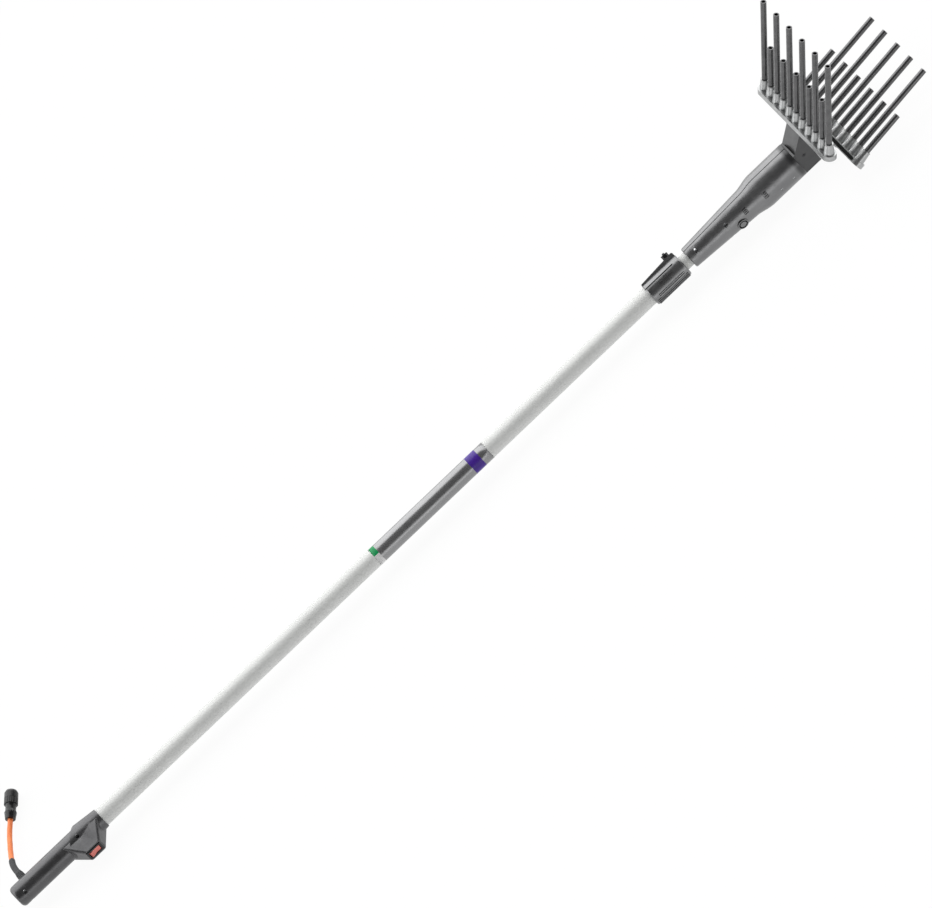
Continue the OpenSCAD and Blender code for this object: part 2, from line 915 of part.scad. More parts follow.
module case_screws() {
    color("black") for (u = case_screw_p(), s = [-1, 1])
        across(x_head + u, 0) mirror([0, 0, s > 0 ? 0 : 1]) translate([0, 0, case_r])
            cylinder(r = case_screw_r, h = head_r - case_r - case_screw_sink);
}

module pivot_screws() {
    color("black") for (s = [-1, 1])
        across(x_pivot, s * pivot_gap / 2) mirror([0, 0, s > 0 ? 1 : 0])
            translate([0, 0, neck_w / 2 - shaft_end_wall])
            cylinder(r = pivot_screw_head_r, h = pivot_screw_head_h);
}

module pivot_shaft(side) {
    len = neck_w - 2 * shaft_end_wall;
    color("silver") across(x_pivot, side * pivot_gap / 2) translate([0, 0, -len / 2])
        cylinder(r = pivot_shaft_r, h = len);
}

module front_shaft() pivot_shaft(1);
module back_shaft() pivot_shaft(-1);

// Motor and gears

module motor_can() {
    color("silver") on_axis(x_head + motor_p + cap_len) difference() {
        cylinder(r = motor_r, h = motor_len - cap_len);
        translate([0, 0, -cut]) cylinder(r = motor_r - can_wall, h = motor_len - cap_len - can_face + cut);
        cylinder(r = shaft_r + run_gap, h = motor_len);
    }
}

module motor_cap() {
    color("black") on_axis(x_head + motor_p) {
        difference() {
            translate([0, 0, terminal_h]) cylinder(r = motor_r - cap_step, h = cap_len - terminal_h);
            translate([0, 0, cap_len - cap_step]) cylinder(r = shaft_r + run_gap, h = cap_len);
        }
        for (s = [-1, 1]) translate([-terminal_w / 2, s * terminal_y - terminal_t / 2, 0])
            cube([terminal_w, terminal_t, terminal_h + cap_step]);
    }
}

module motor_shaft() {
    start = motor_p + cap_len - cap_step;
    color("silver") on_axis(x_head + start) cylinder(r = shaft_r, h = gear_end - start);
}

module motor_rotor() {
    start = motor_p + cap_len + rotor_end_gap;
    color("slategray") on_axis(x_head + start)
        tube(motor_r - can_wall - rotor_gap, shaft_r, motor_end - can_face - rotor_end_gap - start);
}

module sun_gear() {
    color("goldenrod") on_axis(x_head + gear_p) difference() {
        gear(sun_teeth, gear_module, gear_w, 0);
        translate([0, 0, -cut]) cylinder(r = shaft_r, h = gear_w + 2 * cut);
    }
}

module ring_gear() {
    size = gear_module;
    color("slategray") on_axis(x_head + motor_end) difference() {
        cylinder(r = case_r, h = ring_end - motor_end);
        translate([0, 0, -cut]) cylinder(r = web_hole_r, h = web_t + 2 * cut);
        translate([0, 0, web_t]) rotate(180 / ring_teeth) linear_extrude(ring_end)
            polygon(gear_outline(ring_teeth, size, root_share * size, -tip_share * size, -slack_share));
    }
}

module planet(i) {
    turn = 180 / planet_teeth;
    color("goldenrod") on_axis(x_head + gear_p) rotate(i * 360 / planet_count)
        translate([orbit_r, 0, 0]) difference() {
            gear(planet_teeth, gear_module, gear_w, turn);
            translate([0, 0, -cut]) cylinder(r = planet_pin_r + run_gap, h = gear_w + 2 * cut);
        }
}

module planet_gear_1() planet(0);
module planet_gear_2() planet(1);
module planet_gear_3() planet(2);

module planet_carrier() {
    color("silver") on_axis(x_head) {
        translate([0, 0, carrier_p]) cylinder(r = carrier_r, h = carrier_t);
        for (i = [0:planet_count - 1]) rotate(i * 360 / planet_count)
            translate([orbit_r, 0, gear_p]) cylinder(r = planet_pin_r, h = carrier_end - gear_p);
        translate([0, 0, carrier_p]) cylinder(r = crank_shaft_r, h = crank_p - carrier_p);
        translate([0, 0, carrier_p]) cylinder(r = crank_spigot_r, h = crank_p + crank_disc_t - crank_cap_t - carrier_p);
    }
}

module crank_disc() {
    color("slategray") on_axis(x_head + crank_p) {
        difference() {
            cylinder(r = crank_disc_r, h = crank_disc_t);
            translate([0, 0, -cut]) cylinder(r = crank_spigot_r, h = crank_disc_t - crank_cap_t + cut);
        }
        translate([crank_throw, 0, crank_disc_t - crank_cap_t])
            cylinder(r = crank_pin_r, h = crank_pin_len + crank_cap_t);
    }
}

module crank_roller() {
    start = crank_p + crank_disc_t + roller_gap;
    color("silver") on_axis(x_head + start) translate([crank_throw, 0, 0])
        tube(roller_r, crank_pin_r, crank_pin_end - start - roller_gap);
}

module gear_cover() {
    color("slategray") on_axis(x_head + ring_end) difference() {
        cylinder(r = case_r, h = case_end - ring_end);
        translate([0, 0, -cut]) cylinder(r = bearing_r, h = case_end);
        translate([0, 0, cover_web_end - ring_end]) cylinder(r = case_r - skirt_t, h = case_end);
    }
}

module crank_bearings() {
    color("silver") for (u = [cover_web_p, cover_web_end - bearing_w])
        on_axis(x_head + u) tube(bearing_r, crank_shaft_r + run_gap, bearing_w);
}

// Combs: local X runs along the rods from the pivot, local Y stays

module comb_frame(side) {
    translate([x_pivot, 0, axis_z + side * pivot_gap / 2])
        rotate([0, side > 0 ? -front_angle : -back_angle, 0]) children();
}

module along_y(from) translate([0, from, 0]) rotate([-90, 0, 0]) children();

module arm_bar() {
    tip = plate_x - flange_t;
    difference() {
        translate([0, 0, -arm_t / 2]) linear_extrude(arm_t) polygon([
            [0, -arm_root_half], [arm_spread[0], -arm_root_half], [arm_spread[1], -arm_half],
            [tip, -arm_half], [tip, arm_half], [arm_spread[1], arm_half],
            [arm_spread[0], arm_root_half], [0, arm_root_half]]);
        for (s = [-1, 1]) translate([0, 0, s * arm_t / 2 - arm_pocket / 2])
            linear_extrude(arm_pocket) polygon([
                [arm_spread[0], arm_rim - arm_root_half], [arm_spread[1], arm_rim - arm_half],
                [tip - arm_rim, arm_rim - arm_half], [tip - arm_rim, arm_half - arm_rim],
                [arm_spread[1], arm_half - arm_rim], [arm_spread[0], arm_root_half - arm_rim]]);
    }
    translate([tip, -flange_half, -flange_w / 2]) cube([flange_t, 2 * flange_half, flange_w]);
}

// Forked lever that the crank roller rocks
module fork_lever() {
    rest = atan2(-lever_rise, -lever_run) + swing / 2 - front_angle;
    gap = roller_r + fork_gap;
    rotate([0, -rest, 0]) {
        translate([0, -lever_half, -lever_bar_t / 2])
            cube([lever_len - prong_out, 2 * lever_half, lever_bar_t]);
        translate([lever_len - prong_out - prong_t, -lever_half, -gap - prong_t])
            cube([prong_t, 2 * lever_half, 2 * (gap + prong_t)]);
        for (s = [-1, 1])
            translate([lever_len - prong_out - cut, -lever_half, s * (gap + prong_t / 2) - prong_t / 2])
                cube([prong_out + prong_in + cut, 2 * lever_half, prong_t]);
    }
}

module comb_arm(side) {
    gear_from = hub_half - comb_gear_w;
    color("silver") comb_frame(side) difference() {
        union() {
            along_y(-hub_half) cylinder(r = hub_r, h = hub_half + gear_from);
            along_y(-hub_half) cylinder(r = spigot_r, h = 2 * hub_half);
            arm_bar();
            if (side > 0) fork_lever();
        }
        along_y(-hub_half - cut) cylinder(r = pivot_shaft_r + bush_t, h = 2 * hub_half + 2 * cut);
        for (s = [-1, 1]) translate([plate_x - flange_t - cut, s * rod_pitch * 3 / 2, 0])
            rotate([0, 90, 0]) cylinder(r = bolt_r, h = flange_t + 2 * cut);
    }
}

module front_arm() comb_arm(1);
module back_arm() comb_arm(-1);

module comb_gear(side) {
    turn = side > 0 ? 90 + front_angle : back_angle - 90 + 180 / comb_gear_teeth;
    color("goldenrod") comb_frame(side) along_y(hub_half - comb_gear_w) difference() {
        gear(comb_gear_teeth, comb_gear_module, comb_gear_w, turn);
        translate([0, 0, -cut]) cylinder(r = spigot_r, h = comb_gear_w + 2 * cut);
    }
}

module front_gear() comb_gear(1);
module back_gear() comb_gear(-1);

module comb_bushes(side) {
    color("peru") comb_frame(side) for (y = [-hub_half, hub_half - bush_w])
        along_y(y) tube(pivot_shaft_r + bush_t, pivot_shaft_r + run_gap, bush_w);
}

module front_bushes() comb_bushes(1);
module back_bushes() comb_bushes(-1);

module stadium(w, span) {
    square([w, span], center = true);
    for (s = [-1, 1]) translate([0, s * span / 2]) circle(d = w);
}

module rod_socket() {
    rotate([0, 90, 0]) rotate_extrude() polygon([
        [0, 0],
        [socket_base_r, 0],
        [socket_top_r, socket_h - socket_lip],
        [socket_top_r + socket_lip_over, socket_h - socket_lip],
        [socket_top_r + socket_lip_over, socket_h],
        [0, socket_h]]);
}

module comb_plate(side) {
    span = (rod_count - 1) * rod_pitch;
    top = comb_reach - socket_h;
    color("lightgray") comb_frame(side) difference() {
        union() {
            translate([plate_x, 0, 0]) rotate([0, 90, 0]) linear_extrude(plate_t) stadium(plate_w, span);
            for (i = [0:rod_count - 1]) translate([top, i * rod_pitch - span / 2, 0]) rod_socket();
        }
        translate([plate_x - cut, 0, 0]) rotate([0, 90, 0])
            linear_extrude(plate_t - plate_skin + cut) difference() {
                stadium(plate_w - 2 * plate_skirt, span);
                square([plate_w, 2 * flange_half], center = true);
            }
        for (i = [0:rod_count - 1])
            translate([top + socket_floor, i * rod_pitch - span / 2, 0])
                rotate([0, 90, 0]) cylinder(r = rod_r, h = socket_h);
        for (s = [-1, 1]) translate([plate_x - cut, s * rod_pitch * 3 / 2, 0])
            rotate([0, 90, 0]) cylinder(r = bolt_r, h = plate_t + 2 * cut);
    }
}

module front_plate() comb_plate(1);
module back_plate() comb_plate(-1);

module rods(side, first, free_len) {
    span = (rod_count - 1) * rod_pitch;
    seat = comb_reach - socket_h + socket_floor;
    color("#202124") comb_frame(side) for (i = [first:2:rod_count - 1])
        translate([seat, i * rod_pitch - span / 2, 0]) rotate([0, 90, 0])
            tube(rod_r, rod_r - rod_wall, comb_reach - seat + free_len);
}

module front_long_rods() rods(1, 0, rod_long);
module front_short_rods() rods(1, 1, rod_short);
module back_long_rods() rods(-1, 1, rod_long);
module back_short_rods() rods(-1, 0, rod_short);

module comb_bolts(side) {
    color("dimgray") comb_frame(side) for (s = [-1, 1])
        translate([plate_x - flange_t - bolt_head_h, s * rod_pitch * 3 / 2, 0]) rotate([0, 90, 0]) {
            cylinder(r = bolt_head_r, h = bolt_head_h);
            cylinder(r = bolt_r, h = bolt_head_h + flange_t + plate_t);
        }
}

module front_bolts() comb_bolts(1);
module back_bolts() comb_bolts(-1);

// Cable and plug

module cable_gland() {
    color("black") across(x_grip + gland_u, 0) {
        translate([0, 0, gland_inner_y]) cylinder(r = gland_r, h = gland_seat_y - gland_inner_y);
        translate([0, 0, gland_seat_y])
            cylinder(r1 = gland_seat_r, r2 = gland_tip_r, h = gland_tip_y - gland_seat_y);
        for (i = [1:gland_rib_count])
            let (
                y = gland_seat_y + i * gland_rib_step,
                r = gland_seat_r - (gland_seat_r - gland_tip_r) * i * gland_rib_step
                    / (gland_tip_y - gland_seat_y)
            )
            translate([0, 0, y]) cylinder(r = r + gland_rib_h, h = gland_rib_t);
    }
}

// Ring of points round a route point, square to the route there
function unit(v) = v / norm(v);
function heading(p, i) =
    i == 0 ? unit(p[1] - p[0]) :
    i == len(p) - 1 ? unit(p[i] - p[i - 1]) : unit(p[i + 1] - p[i - 1]);
function cord_ring(p, i, r) =
    let (
        along = heading(p, i),
        side = unit(cross(along, [0, 0, 1])),
        up = cross(side, along)
    )
    [for (k = [0:cord_sides - 1])
        let (a = 360 * k / cord_sides)
        p[i] + r * (cos(a) * side + sin(a) * up)];

module cord(p, r) {
    n = cord_sides;
    last = len(p) - 1;
    points = [for (i = [0:last]) each cord_ring(p, i, r)];
    sides = [for (i = [0:last - 1]) for (k = [0:n - 1]) each [
        [i * n + k, (i + 1) * n + k, i * n + (k + 1) % n],
        [i * n + (k + 1) % n, (i + 1) * n + k, (i + 1) * n + (k + 1) % n]]];
    ends = [[for (k = [0:n - 1]) k], [for (k = [n - 1:-1:0]) last * n + k]];
    polyhedron(points, concat(sides, ends));
}

function stretch(from, to) = [for (i = [from:to]) route[i] + [x_grip, 0, 0]];

module cable_sleeve() color("dimgray") cord(stretch(0, sleeve_last), sleeve_d / 2);
module supply_cable() color("darkorange") cord(stretch(sleeve_last, len(route) - 1), cable_d / 2);

// Local Z runs out of the plug from the end of the cable
module at_plug() {
    translate(route[len(route) - 1] + [x_grip, 0, 0]) rotate([0, 0, plug_yaw]) rotate([0, 90, 0]) children();
}

module flutes(r, flute_r, count, len) {
    for (i = [0:count - 1]) rotate(i * 360 / count) translate([r + flute_r / 2, 0, 0])
        cylinder(r = flute_r, h = len);
}

module plug_nut() {
    color("black") at_plug() difference() {
        cylinder(r1 = nut_rear_r, r2 = nut_front_r, h = nut_len);
        translate([0, 0, nut_len / 2]) flutes(nut_front_r, nut_flute_r, nut_flutes, nut_len);
    }
}

module plug_body() {
    color("black") at_plug() difference() {
        translate([0, 0, nut_len]) rotate_extrude() polygon([
            [0, 0],
            [plug_body_r, 0],
            [plug_neck_r, (ring_back - nut_len) / 3],
            [plug_neck_r, 2 * (ring_back - nut_len) / 3],
            [plug_body_r, ring_back - nut_len],
            [plug_body_r, plug_len - socket_depth - nut_len],
            [0, plug_len - socket_depth - nut_len]]);
        translate([0, 0, plug_len - socket_depth - insert_len]) cylinder(r = insert_r, h = insert_len + cut);
    }
}

module plug_ring() {
    color("black") at_plug() difference() {
        translate([0, 0, ring_back + loose_gap]) rotate_extrude() polygon([
            [0, 0],
            [plug_r, 0],
            [plug_r, plug_len - ring_back - loose_gap - 2 * ring_nose],
            [plug_r - ring_nose, plug_len - ring_back - loose_gap],
            [0, plug_len - ring_back - loose_gap]]);
        cylinder(r = plug_body_r + run_gap, h = plug_len - socket_depth + slide_gap);
        cylinder(r = socket_r, h = plug_len + cut);
        translate([0, 0, ring_back + loose_gap - cut])
            flutes(plug_r, ring_flute_r, ring_flutes, ring_flute_len + cut);
    }
}

module contact_places() {
    for (i = [0:contact_count - 1]) rotate(i * 360 / contact_count) translate([contact_orbit, 0, 0]) children();
}

module plug_insert() {
    color("dimgray") at_plug() translate([0, 0, plug_len - socket_depth - insert_len]) difference() {
        cylinder(r = insert_r, h = insert_len);
        contact_places() cylinder(r = contact_r, h = insert_len + cut);
    }
}

module plug_contacts() {
    color("goldenrod") at_plug() translate([0, 0, plug_len - socket_depth - insert_len])
        contact_places() tube(contact_r, contact_bore_r, insert_len);
}

pole_tube();
handle_shell_right();
handle_shell_left();
handle_screws();
control_board();
switch_body();
switch_rocker();
cable_gland();
cable_sleeve();
supply_cable();
plug_nut();
plug_body();
plug_ring();
plug_insert();
plug_contacts();
clamp_collar();
clamp_lever();
clamp_hinge_pin();
clamp_stud();
clamp_nut();
pole_bush();
collar_wiper();
sliding_tube();
tube_slider();
head_shell_right();
head_shell_left();
head_screws();
case_screws();
pivot_screws();
motor_can();
motor_cap();
ring_gear();
gear_cover();
crank_bearings();
front_shaft();
back_shaft();
motor_shaft();
motor_rotor();
sun_gear();
planet_carrier();
crank_disc();
crank_roller();
planet_gear_1();
planet_gear_2();
planet_gear_3();
front_arm();
back_arm();
front_gear();
back_gear();
front_bushes();
back_bushes();
front_plate();
back_plate();
front_long_rods();
front_short_rods();
back_long_rods();
back_short_rods();
front_bolts();
back_bolts();
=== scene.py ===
import json
import math
import bpy
import bmesh
from mathutils import Matrix, Vector
from mathutils.bvhtree import BVHTree

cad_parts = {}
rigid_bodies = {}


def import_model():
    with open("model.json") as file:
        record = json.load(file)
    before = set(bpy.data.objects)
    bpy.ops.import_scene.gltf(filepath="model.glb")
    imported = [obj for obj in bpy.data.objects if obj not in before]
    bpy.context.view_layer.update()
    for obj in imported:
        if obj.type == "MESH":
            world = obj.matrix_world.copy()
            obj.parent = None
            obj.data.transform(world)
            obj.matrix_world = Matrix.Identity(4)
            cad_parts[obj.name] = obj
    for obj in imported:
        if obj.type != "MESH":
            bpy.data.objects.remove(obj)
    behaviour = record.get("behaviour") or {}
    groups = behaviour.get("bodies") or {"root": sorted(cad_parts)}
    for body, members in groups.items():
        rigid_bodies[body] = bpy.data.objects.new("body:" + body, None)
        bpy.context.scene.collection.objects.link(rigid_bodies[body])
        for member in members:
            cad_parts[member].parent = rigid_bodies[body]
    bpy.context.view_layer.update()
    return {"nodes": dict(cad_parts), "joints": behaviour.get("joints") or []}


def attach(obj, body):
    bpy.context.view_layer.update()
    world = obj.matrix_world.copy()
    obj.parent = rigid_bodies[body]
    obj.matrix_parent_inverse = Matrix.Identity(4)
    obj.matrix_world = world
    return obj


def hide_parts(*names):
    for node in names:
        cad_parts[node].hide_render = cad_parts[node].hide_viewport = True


for leftover in list(bpy.data.objects):
    bpy.data.objects.remove(leftover)

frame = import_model()
nodes = frame["nodes"]
scene = bpy.context.scene
scene.view_settings.view_transform = "Standard"
print("frame loaded,", len(nodes), "nodes")

# places that the pieces are set from, worked out from the joints
mm = 0.001
hingeAlong = 158.5 * mm  # from the rear end of the grip to the rocker's hinge
pivotAlong = 270.0 * mm  # from the rear end of the head to the comb pivots
jointPlace = {joint["name"]: joint["pos_m"] for joint in frame["joints"] if "pos_m" in joint}
gripX = jointPlace["rocker_tilt"][0] - hingeAlong
headX = jointPlace["comb_front_swing"][0] - pivotAlong
poleZ = jointPlace["crank_spin"][2]


# camera at the photograph's angle
cameraLook = {
    "aim": (0.032, 0.0156, 0.0486),
    "right": (0.724, -0.512, -0.462),
    "back": (0.0, -0.670, 0.742),
    "distance": 40.0,
    "lens": 883.0,
    "sensor": 36.0,
    "clipEnd": 100.0,
}


def setCamera(look):
    data = bpy.data.cameras.new("photoCamera")
    data.lens = look["lens"]
    data.sensor_width = look["sensor"]
    data.clip_end = look["clipEnd"]
    camera = bpy.data.objects.new("photoCamera", data)
    scene.collection.objects.link(camera)
    back = Vector(look["back"]).normalized()
    right = Vector(look["right"])
    right = (right - back * right.dot(back)).normalized()
    up = back.cross(right)
    turn = Matrix((right, up, back)).transposed().to_4x4()
    camera.matrix_world = Matrix.Translation(Vector(look["aim"]) + back * look["distance"]) @ turn
    scene.camera = camera


setCamera(cameraLook)
print("camera set")


# small helpers for node trees
def addNode(tree, kind, **values):
    node = tree.nodes.new(kind)
    for key, value in values.items():
        setattr(node, key, value)
    return node


def newMaterial(name):
    material = bpy.data.materials.new(name)
    material.use_nodes = True
    tree = material.node_tree
    return material, tree, tree.nodes["Principled BSDF"]


def objectCoords(tree, stretch=(1.0, 1.0, 1.0)):
    coords = addNode(tree, "ShaderNodeTexCoord")
    mapping = addNode(tree, "ShaderNodeMapping")
    mapping.inputs["Scale"].default_value = stretch
    tree.links.new(coords.outputs["Object"], mapping.inputs["Vector"])
    return mapping.outputs["Vector"]


def noiseAt(tree, vector, scale, detail):
    noise = addNode(tree, "ShaderNodeTexNoise")
    noise.inputs["Scale"].default_value = scale
    noise.inputs["Detail"].default_value = detail
    tree.links.new(vector, noise.inputs["Vector"])
    return noise.outputs["Fac"]


# most of a noise's values lie in this range
noiseLow, noiseHigh = 0.3, 0.7


def spread(tree, value, low, high, fromLow=noiseLow, fromHigh=noiseHigh):
    ranged = addNode(tree, "ShaderNodeMapRange")
    ranged.inputs["From Min"].default_value = fromLow
    ranged.inputs["From Max"].default_value = fromHigh
    ranged.inputs["To Min"].default_value = low
    ranged.inputs["To Max"].default_value = high
    tree.links.new(value, ranged.inputs["Value"])
    return ranged.outputs["Result"]


def twoTone(tree, value, dark, light):
    ramp = addNode(tree, "ShaderNodeValToRGB")
    ramp.color_ramp.elements[0].position = noiseLow
    ramp.color_ramp.elements[1].position = noiseHigh
    ramp.color_ramp.elements[0].color = (*dark, 1.0)
    ramp.color_ramp.elements[1].color = (*light, 1.0)
    tree.links.new(value, ramp.inputs["Fac"])
    return ramp.outputs["Color"]


def bumpFrom(tree, value, strength, distance):
    bump = addNode(tree, "ShaderNodeBump")
    bump.inputs["Strength"].default_value = strength
    bump.inputs["Distance"].default_value = distance
    tree.links.new(value, bump.inputs["Height"])
    return bump.outputs["Normal"]


# painted shade: colour that darkens along the pole direction, from one place to the next
def paintedShadeAlong(tree, colour, start, end, share):
    parts = addNode(tree, "ShaderNodeSeparateXYZ")
    tree.links.new(objectCoords(tree), parts.inputs["Vector"])
    mixed = addNode(tree, "ShaderNodeMix", data_type="RGBA", blend_type="MULTIPLY")
    tree.links.new(spread(tree, parts.outputs["X"], 0.0, 1.0, start, end), mixed.inputs["Factor"])
    tree.links.new(colour, mixed.inputs["A"])
    mixed.inputs["B"].default_value = (share, share, share, 1.0)
    return mixed.outputs["Result"]


# moulded plastic and rubber: spark-eroded grain, faint flow marks, handling shine
mouldedBase = {
    "flow": (0.35, 1.0, 1.0), "blotch": 45.0, "shine": 90.0, "specular": 0.5, "metal": 0.0,
    "blotchDetail": 4.0, "grainDetail": 2.0, "shineDetail": 5.0, "grainDepth": 0.2 * mm,
}


def mouldedFinish(name, changes):
    look = {**mouldedBase, **changes}
    material, tree, shader = newMaterial(name)
    flat = objectCoords(tree)
    flow = objectCoords(tree, look["flow"])
    blotch = noiseAt(tree, flow, look["blotch"], look["blotchDetail"])
    grain = noiseAt(tree, flat, look["grain"], look["grainDetail"])
    shine = noiseAt(tree, flat, look["shine"], look["shineDetail"])
    colour = twoTone(tree, blotch, look["dark"], look["light"])
    # painted shade where asked: the colour darkens past a place along the pole
    if "shade" in look:
        colour = paintedShadeAlong(tree, colour, *look["shade"])
    tree.links.new(colour, shader.inputs["Base Color"])
    tree.links.new(spread(tree, shine, *look["rough"]), shader.inputs["Roughness"])
    tree.links.new(bumpFrom(tree, grain, look["relief"], look["grainDepth"]), shader.inputs["Normal"])
    shader.inputs["Specular IOR Level"].default_value = look["specular"]
    shader.inputs["Metallic"].default_value = look["metal"]
    return material


# metal: lines drawn along one axis, or a cast or blasted skin where the stretch is even
metalBase = {
    "stretch": (1.0, 1.0, 1.0), "stain": 18.0, "metal": 1.0, "detail": 4.0, "lineDepth": 0.1 * mm,
}


def metalFinish(name, changes):
    look = {**metalBase, **changes}
    material, tree, shader = newMaterial(name)
    drawn = objectCoords(tree, look["stretch"])
    flat = objectCoords(tree)
    lines = noiseAt(tree, drawn, look["lines"], look["detail"])
    stain = noiseAt(tree, flat, look["stain"], look["detail"])
    tree.links.new(twoTone(tree, stain, look["dark"], look["light"]), shader.inputs["Base Color"])
    tree.links.new(spread(tree, lines, *look["rough"]), shader.inputs["Roughness"])
    tree.links.new(bumpFrom(tree, lines, look["relief"], look["lineDepth"]), shader.inputs["Normal"])
    shader.inputs["Metallic"].default_value = look["metal"]
    return material


finishes = {
    "tubeSilver": metalFinish("tubeSilver", {
        "dark": (0.585, 0.592, 0.58), "light": (0.615, 0.622, 0.610), "rough": (0.42, 0.50),
        "stretch": (0.02, 1.0, 1.0), "lines": 2600.0, "relief": 0.04, "metal": 0.06}),
    # the head shells' colour darkens past the start of the neck, painted shade on the neck
    "shellGrey": mouldedFinish("shellGrey", {
        "dark": (0.182, 0.183, 0.186), "light": (0.215, 0.216, 0.219), "rough": (0.28, 0.39),
        "grain": 2600.0, "relief": 0.20, "metal": 0.9, "shade": (0.790, 0.797, 0.40)}),
    "clampGrey": mouldedFinish("clampGrey", {
        "dark": (0.195, 0.196, 0.199), "light": (0.235, 0.236, 0.239), "rough": (0.24, 0.36),
        "grain": 2600.0, "relief": 0.18, "metal": 0.9}),
    "gripGrey": mouldedFinish("gripGrey", {
        "dark": (0.086, 0.086, 0.089), "light": (0.110, 0.110, 0.113), "rough": (0.27, 0.38),
        "grain": 2000.0, "relief": 0.24, "metal": 0.8}),
    "trimBlack": mouldedFinish("trimBlack", {
        "dark": (0.008, 0.008, 0.009), "light": (0.016, 0.016, 0.017), "rough": (0.16, 0.28),
        "grain": 2600.0, "relief": 0.14, "specular": 0.36}),
    # matt black that stands only for painted shade: inside the vents, in the boss's groove and on the comb
    # plates' inner sides
    "paintedShadeBlack": mouldedFinish("paintedShadeBlack", {
        "dark": (0.006, 0.006, 0.006), "light": (0.010, 0.010, 0.010), "rough": (0.65, 0.85),
        "grain": 1800.0, "relief": 0.25, "specular": 0.12}),
    "bearingPlastic": mouldedFinish("bearingPlastic", {
        "dark": (0.12, 0.12, 0.125), "light": (0.18, 0.18, 0.185), "rough": (0.40, 0.55),
        "grain": 2200.0, "relief": 0.15}),
    "rubberDark": mouldedFinish("rubberDark", {
        "dark": (0.040, 0.041, 0.043), "light": (0.065, 0.066, 0.068), "rough": (0.62, 0.78),
        "grain": 1800.0, "relief": 0.30, "specular": 0.3}),
    "rockerRed": mouldedFinish("rockerRed", {
        "dark": (0.58, 0.13, 0.105), "light": (0.70, 0.20, 0.165), "rough": (0.20, 0.32),
        "grain": 2400.0, "relief": 0.08, "blotch": 160.0}),
    "cableOrange": mouldedFinish("cableOrange", {
        "dark": (0.78, 0.17, 0.035), "light": (0.90, 0.23, 0.05), "rough": (0.42, 0.55),
        "grain": 2200.0, "relief": 0.16, "blotch": 90.0}),
    "castSilver": metalFinish("castSilver", {
        "dark": (0.33, 0.335, 0.335), "light": (0.44, 0.445, 0.445), "rough": (0.24, 0.40),
        "lines": 1500.0, "relief": 0.35, "stain": 60.0, "metal": 0.92}),
    "rodBlack": mouldedFinish("rodBlack", {
        "dark": (0.105, 0.105, 0.107), "light": (0.140, 0.140, 0.142), "rough": (0.18, 0.28),
        "grain": 2400.0, "relief": 0.10, "blotch": 120.0, "metal": 0.85}),
    "steelBright": metalFinish("steelBright", {
        "dark": (0.56, 0.57, 0.58), "light": (0.68, 0.69, 0.70), "rough": (0.20, 0.32),
        "lines": 2400.0, "relief": 0.08}),
    "steelDark": metalFinish("steelDark", {
        "dark": (0.05, 0.05, 0.052), "light": (0.09, 0.09, 0.092), "rough": (0.34, 0.48),
        "lines": 2400.0, "relief": 0.12, "metal": 0.8}),
    "caseAlloy": metalFinish("caseAlloy", {
        "dark": (0.42, 0.43, 0.44), "light": (0.54, 0.55, 0.56), "rough": (0.32, 0.46),
        "stretch": (0.1, 1.0, 1.0), "lines": 1800.0, "relief": 0.15}),
    "gearBrass": metalFinish("gearBrass", {
        "dark": (0.52, 0.34, 0.12), "light": (0.66, 0.46, 0.20), "rough": (0.24, 0.36),
        "stretch": (0.1, 1.0, 1.0), "lines": 1800.0, "relief": 0.10}),
    "boardGreen": mouldedFinish("boardGreen", {
        "dark": (0.020, 0.12, 0.05), "light": (0.035, 0.18, 0.08), "rough": (0.26, 0.40),
        "grain": 1500.0, "relief": 0.05, "blotch": 300.0}),
}
print("finishes made,", len(finishes))


# pale floor that glows for the camera and for reflections, and keeps the object's shadow
floorLook = {"size": 60.0, "drop": 0.4 * mm, "shade": 0.90, "lift": 0.95, "bounce": 0.60}


def rayShare(tree, share, rest):
    light = addNode(tree, "ShaderNodeLightPath")
    total = light.outputs["Is Camera Ray"]
    for word in ("Is Glossy Ray", "Is Transmission Ray"):
        joined = addNode(tree, "ShaderNodeMath", operation="MAXIMUM")
        tree.links.new(total, joined.inputs[0])
        tree.links.new(light.outputs[word], joined.inputs[1])
        total = joined.outputs["Value"]
    return spread(tree, total, rest, share, 0.0, 1.0)


def setFloor(look):
    bpy.ops.mesh.primitive_plane_add(size=look["size"], location=(0.0, 0.0, -look["drop"]))
    floor = bpy.context.active_object
    floor.name = "studioFloor"
    material, tree, _ = newMaterial("studioFloor")
    tree.nodes.clear()
    matte = addNode(tree, "ShaderNodeBsdfDiffuse")
    matte.inputs["Color"].default_value = (look["shade"],) * 3 + (1.0,)
    glow = addNode(tree, "ShaderNodeEmission")
    glow.inputs["Strength"].default_value = 1.0
    mixed = addNode(tree, "ShaderNodeMixShader")
    out = addNode(tree, "ShaderNodeOutputMaterial")
    tree.links.new(rayShare(tree, look["lift"], look["bounce"]), mixed.inputs["Fac"])
    tree.links.new(matte.outputs["BSDF"], mixed.inputs[1])
    tree.links.new(glow.outputs["Emission"], mixed.inputs[2])
    tree.links.new(mixed.outputs["Shader"], out.inputs["Surface"])
    floor.data.materials.append(material)


# sky that is lit along both sides of the pole and dark overhead: shares of its strength by the angle
# about the pole in degrees, from the far side over the top to the near side. Reflections see the
# first, and soft light comes from the second, which is dimmer low on the far side
skyLook = {
    "strength": 3.4,
    "glossy": ((0.0, 0.765), (68.0, 0.765), (82.0, 0.038), (152.0, 0.038), (167.0, 0.52), (180.0, 0.566)),
    "soft": ((0.0, 0.19), (24.0, 0.19), (38.0, 1.0), (68.0, 1.0), (82.0, 0.038), (152.0, 0.038),
             (167.0, 0.52), (180.0, 0.566)),
}


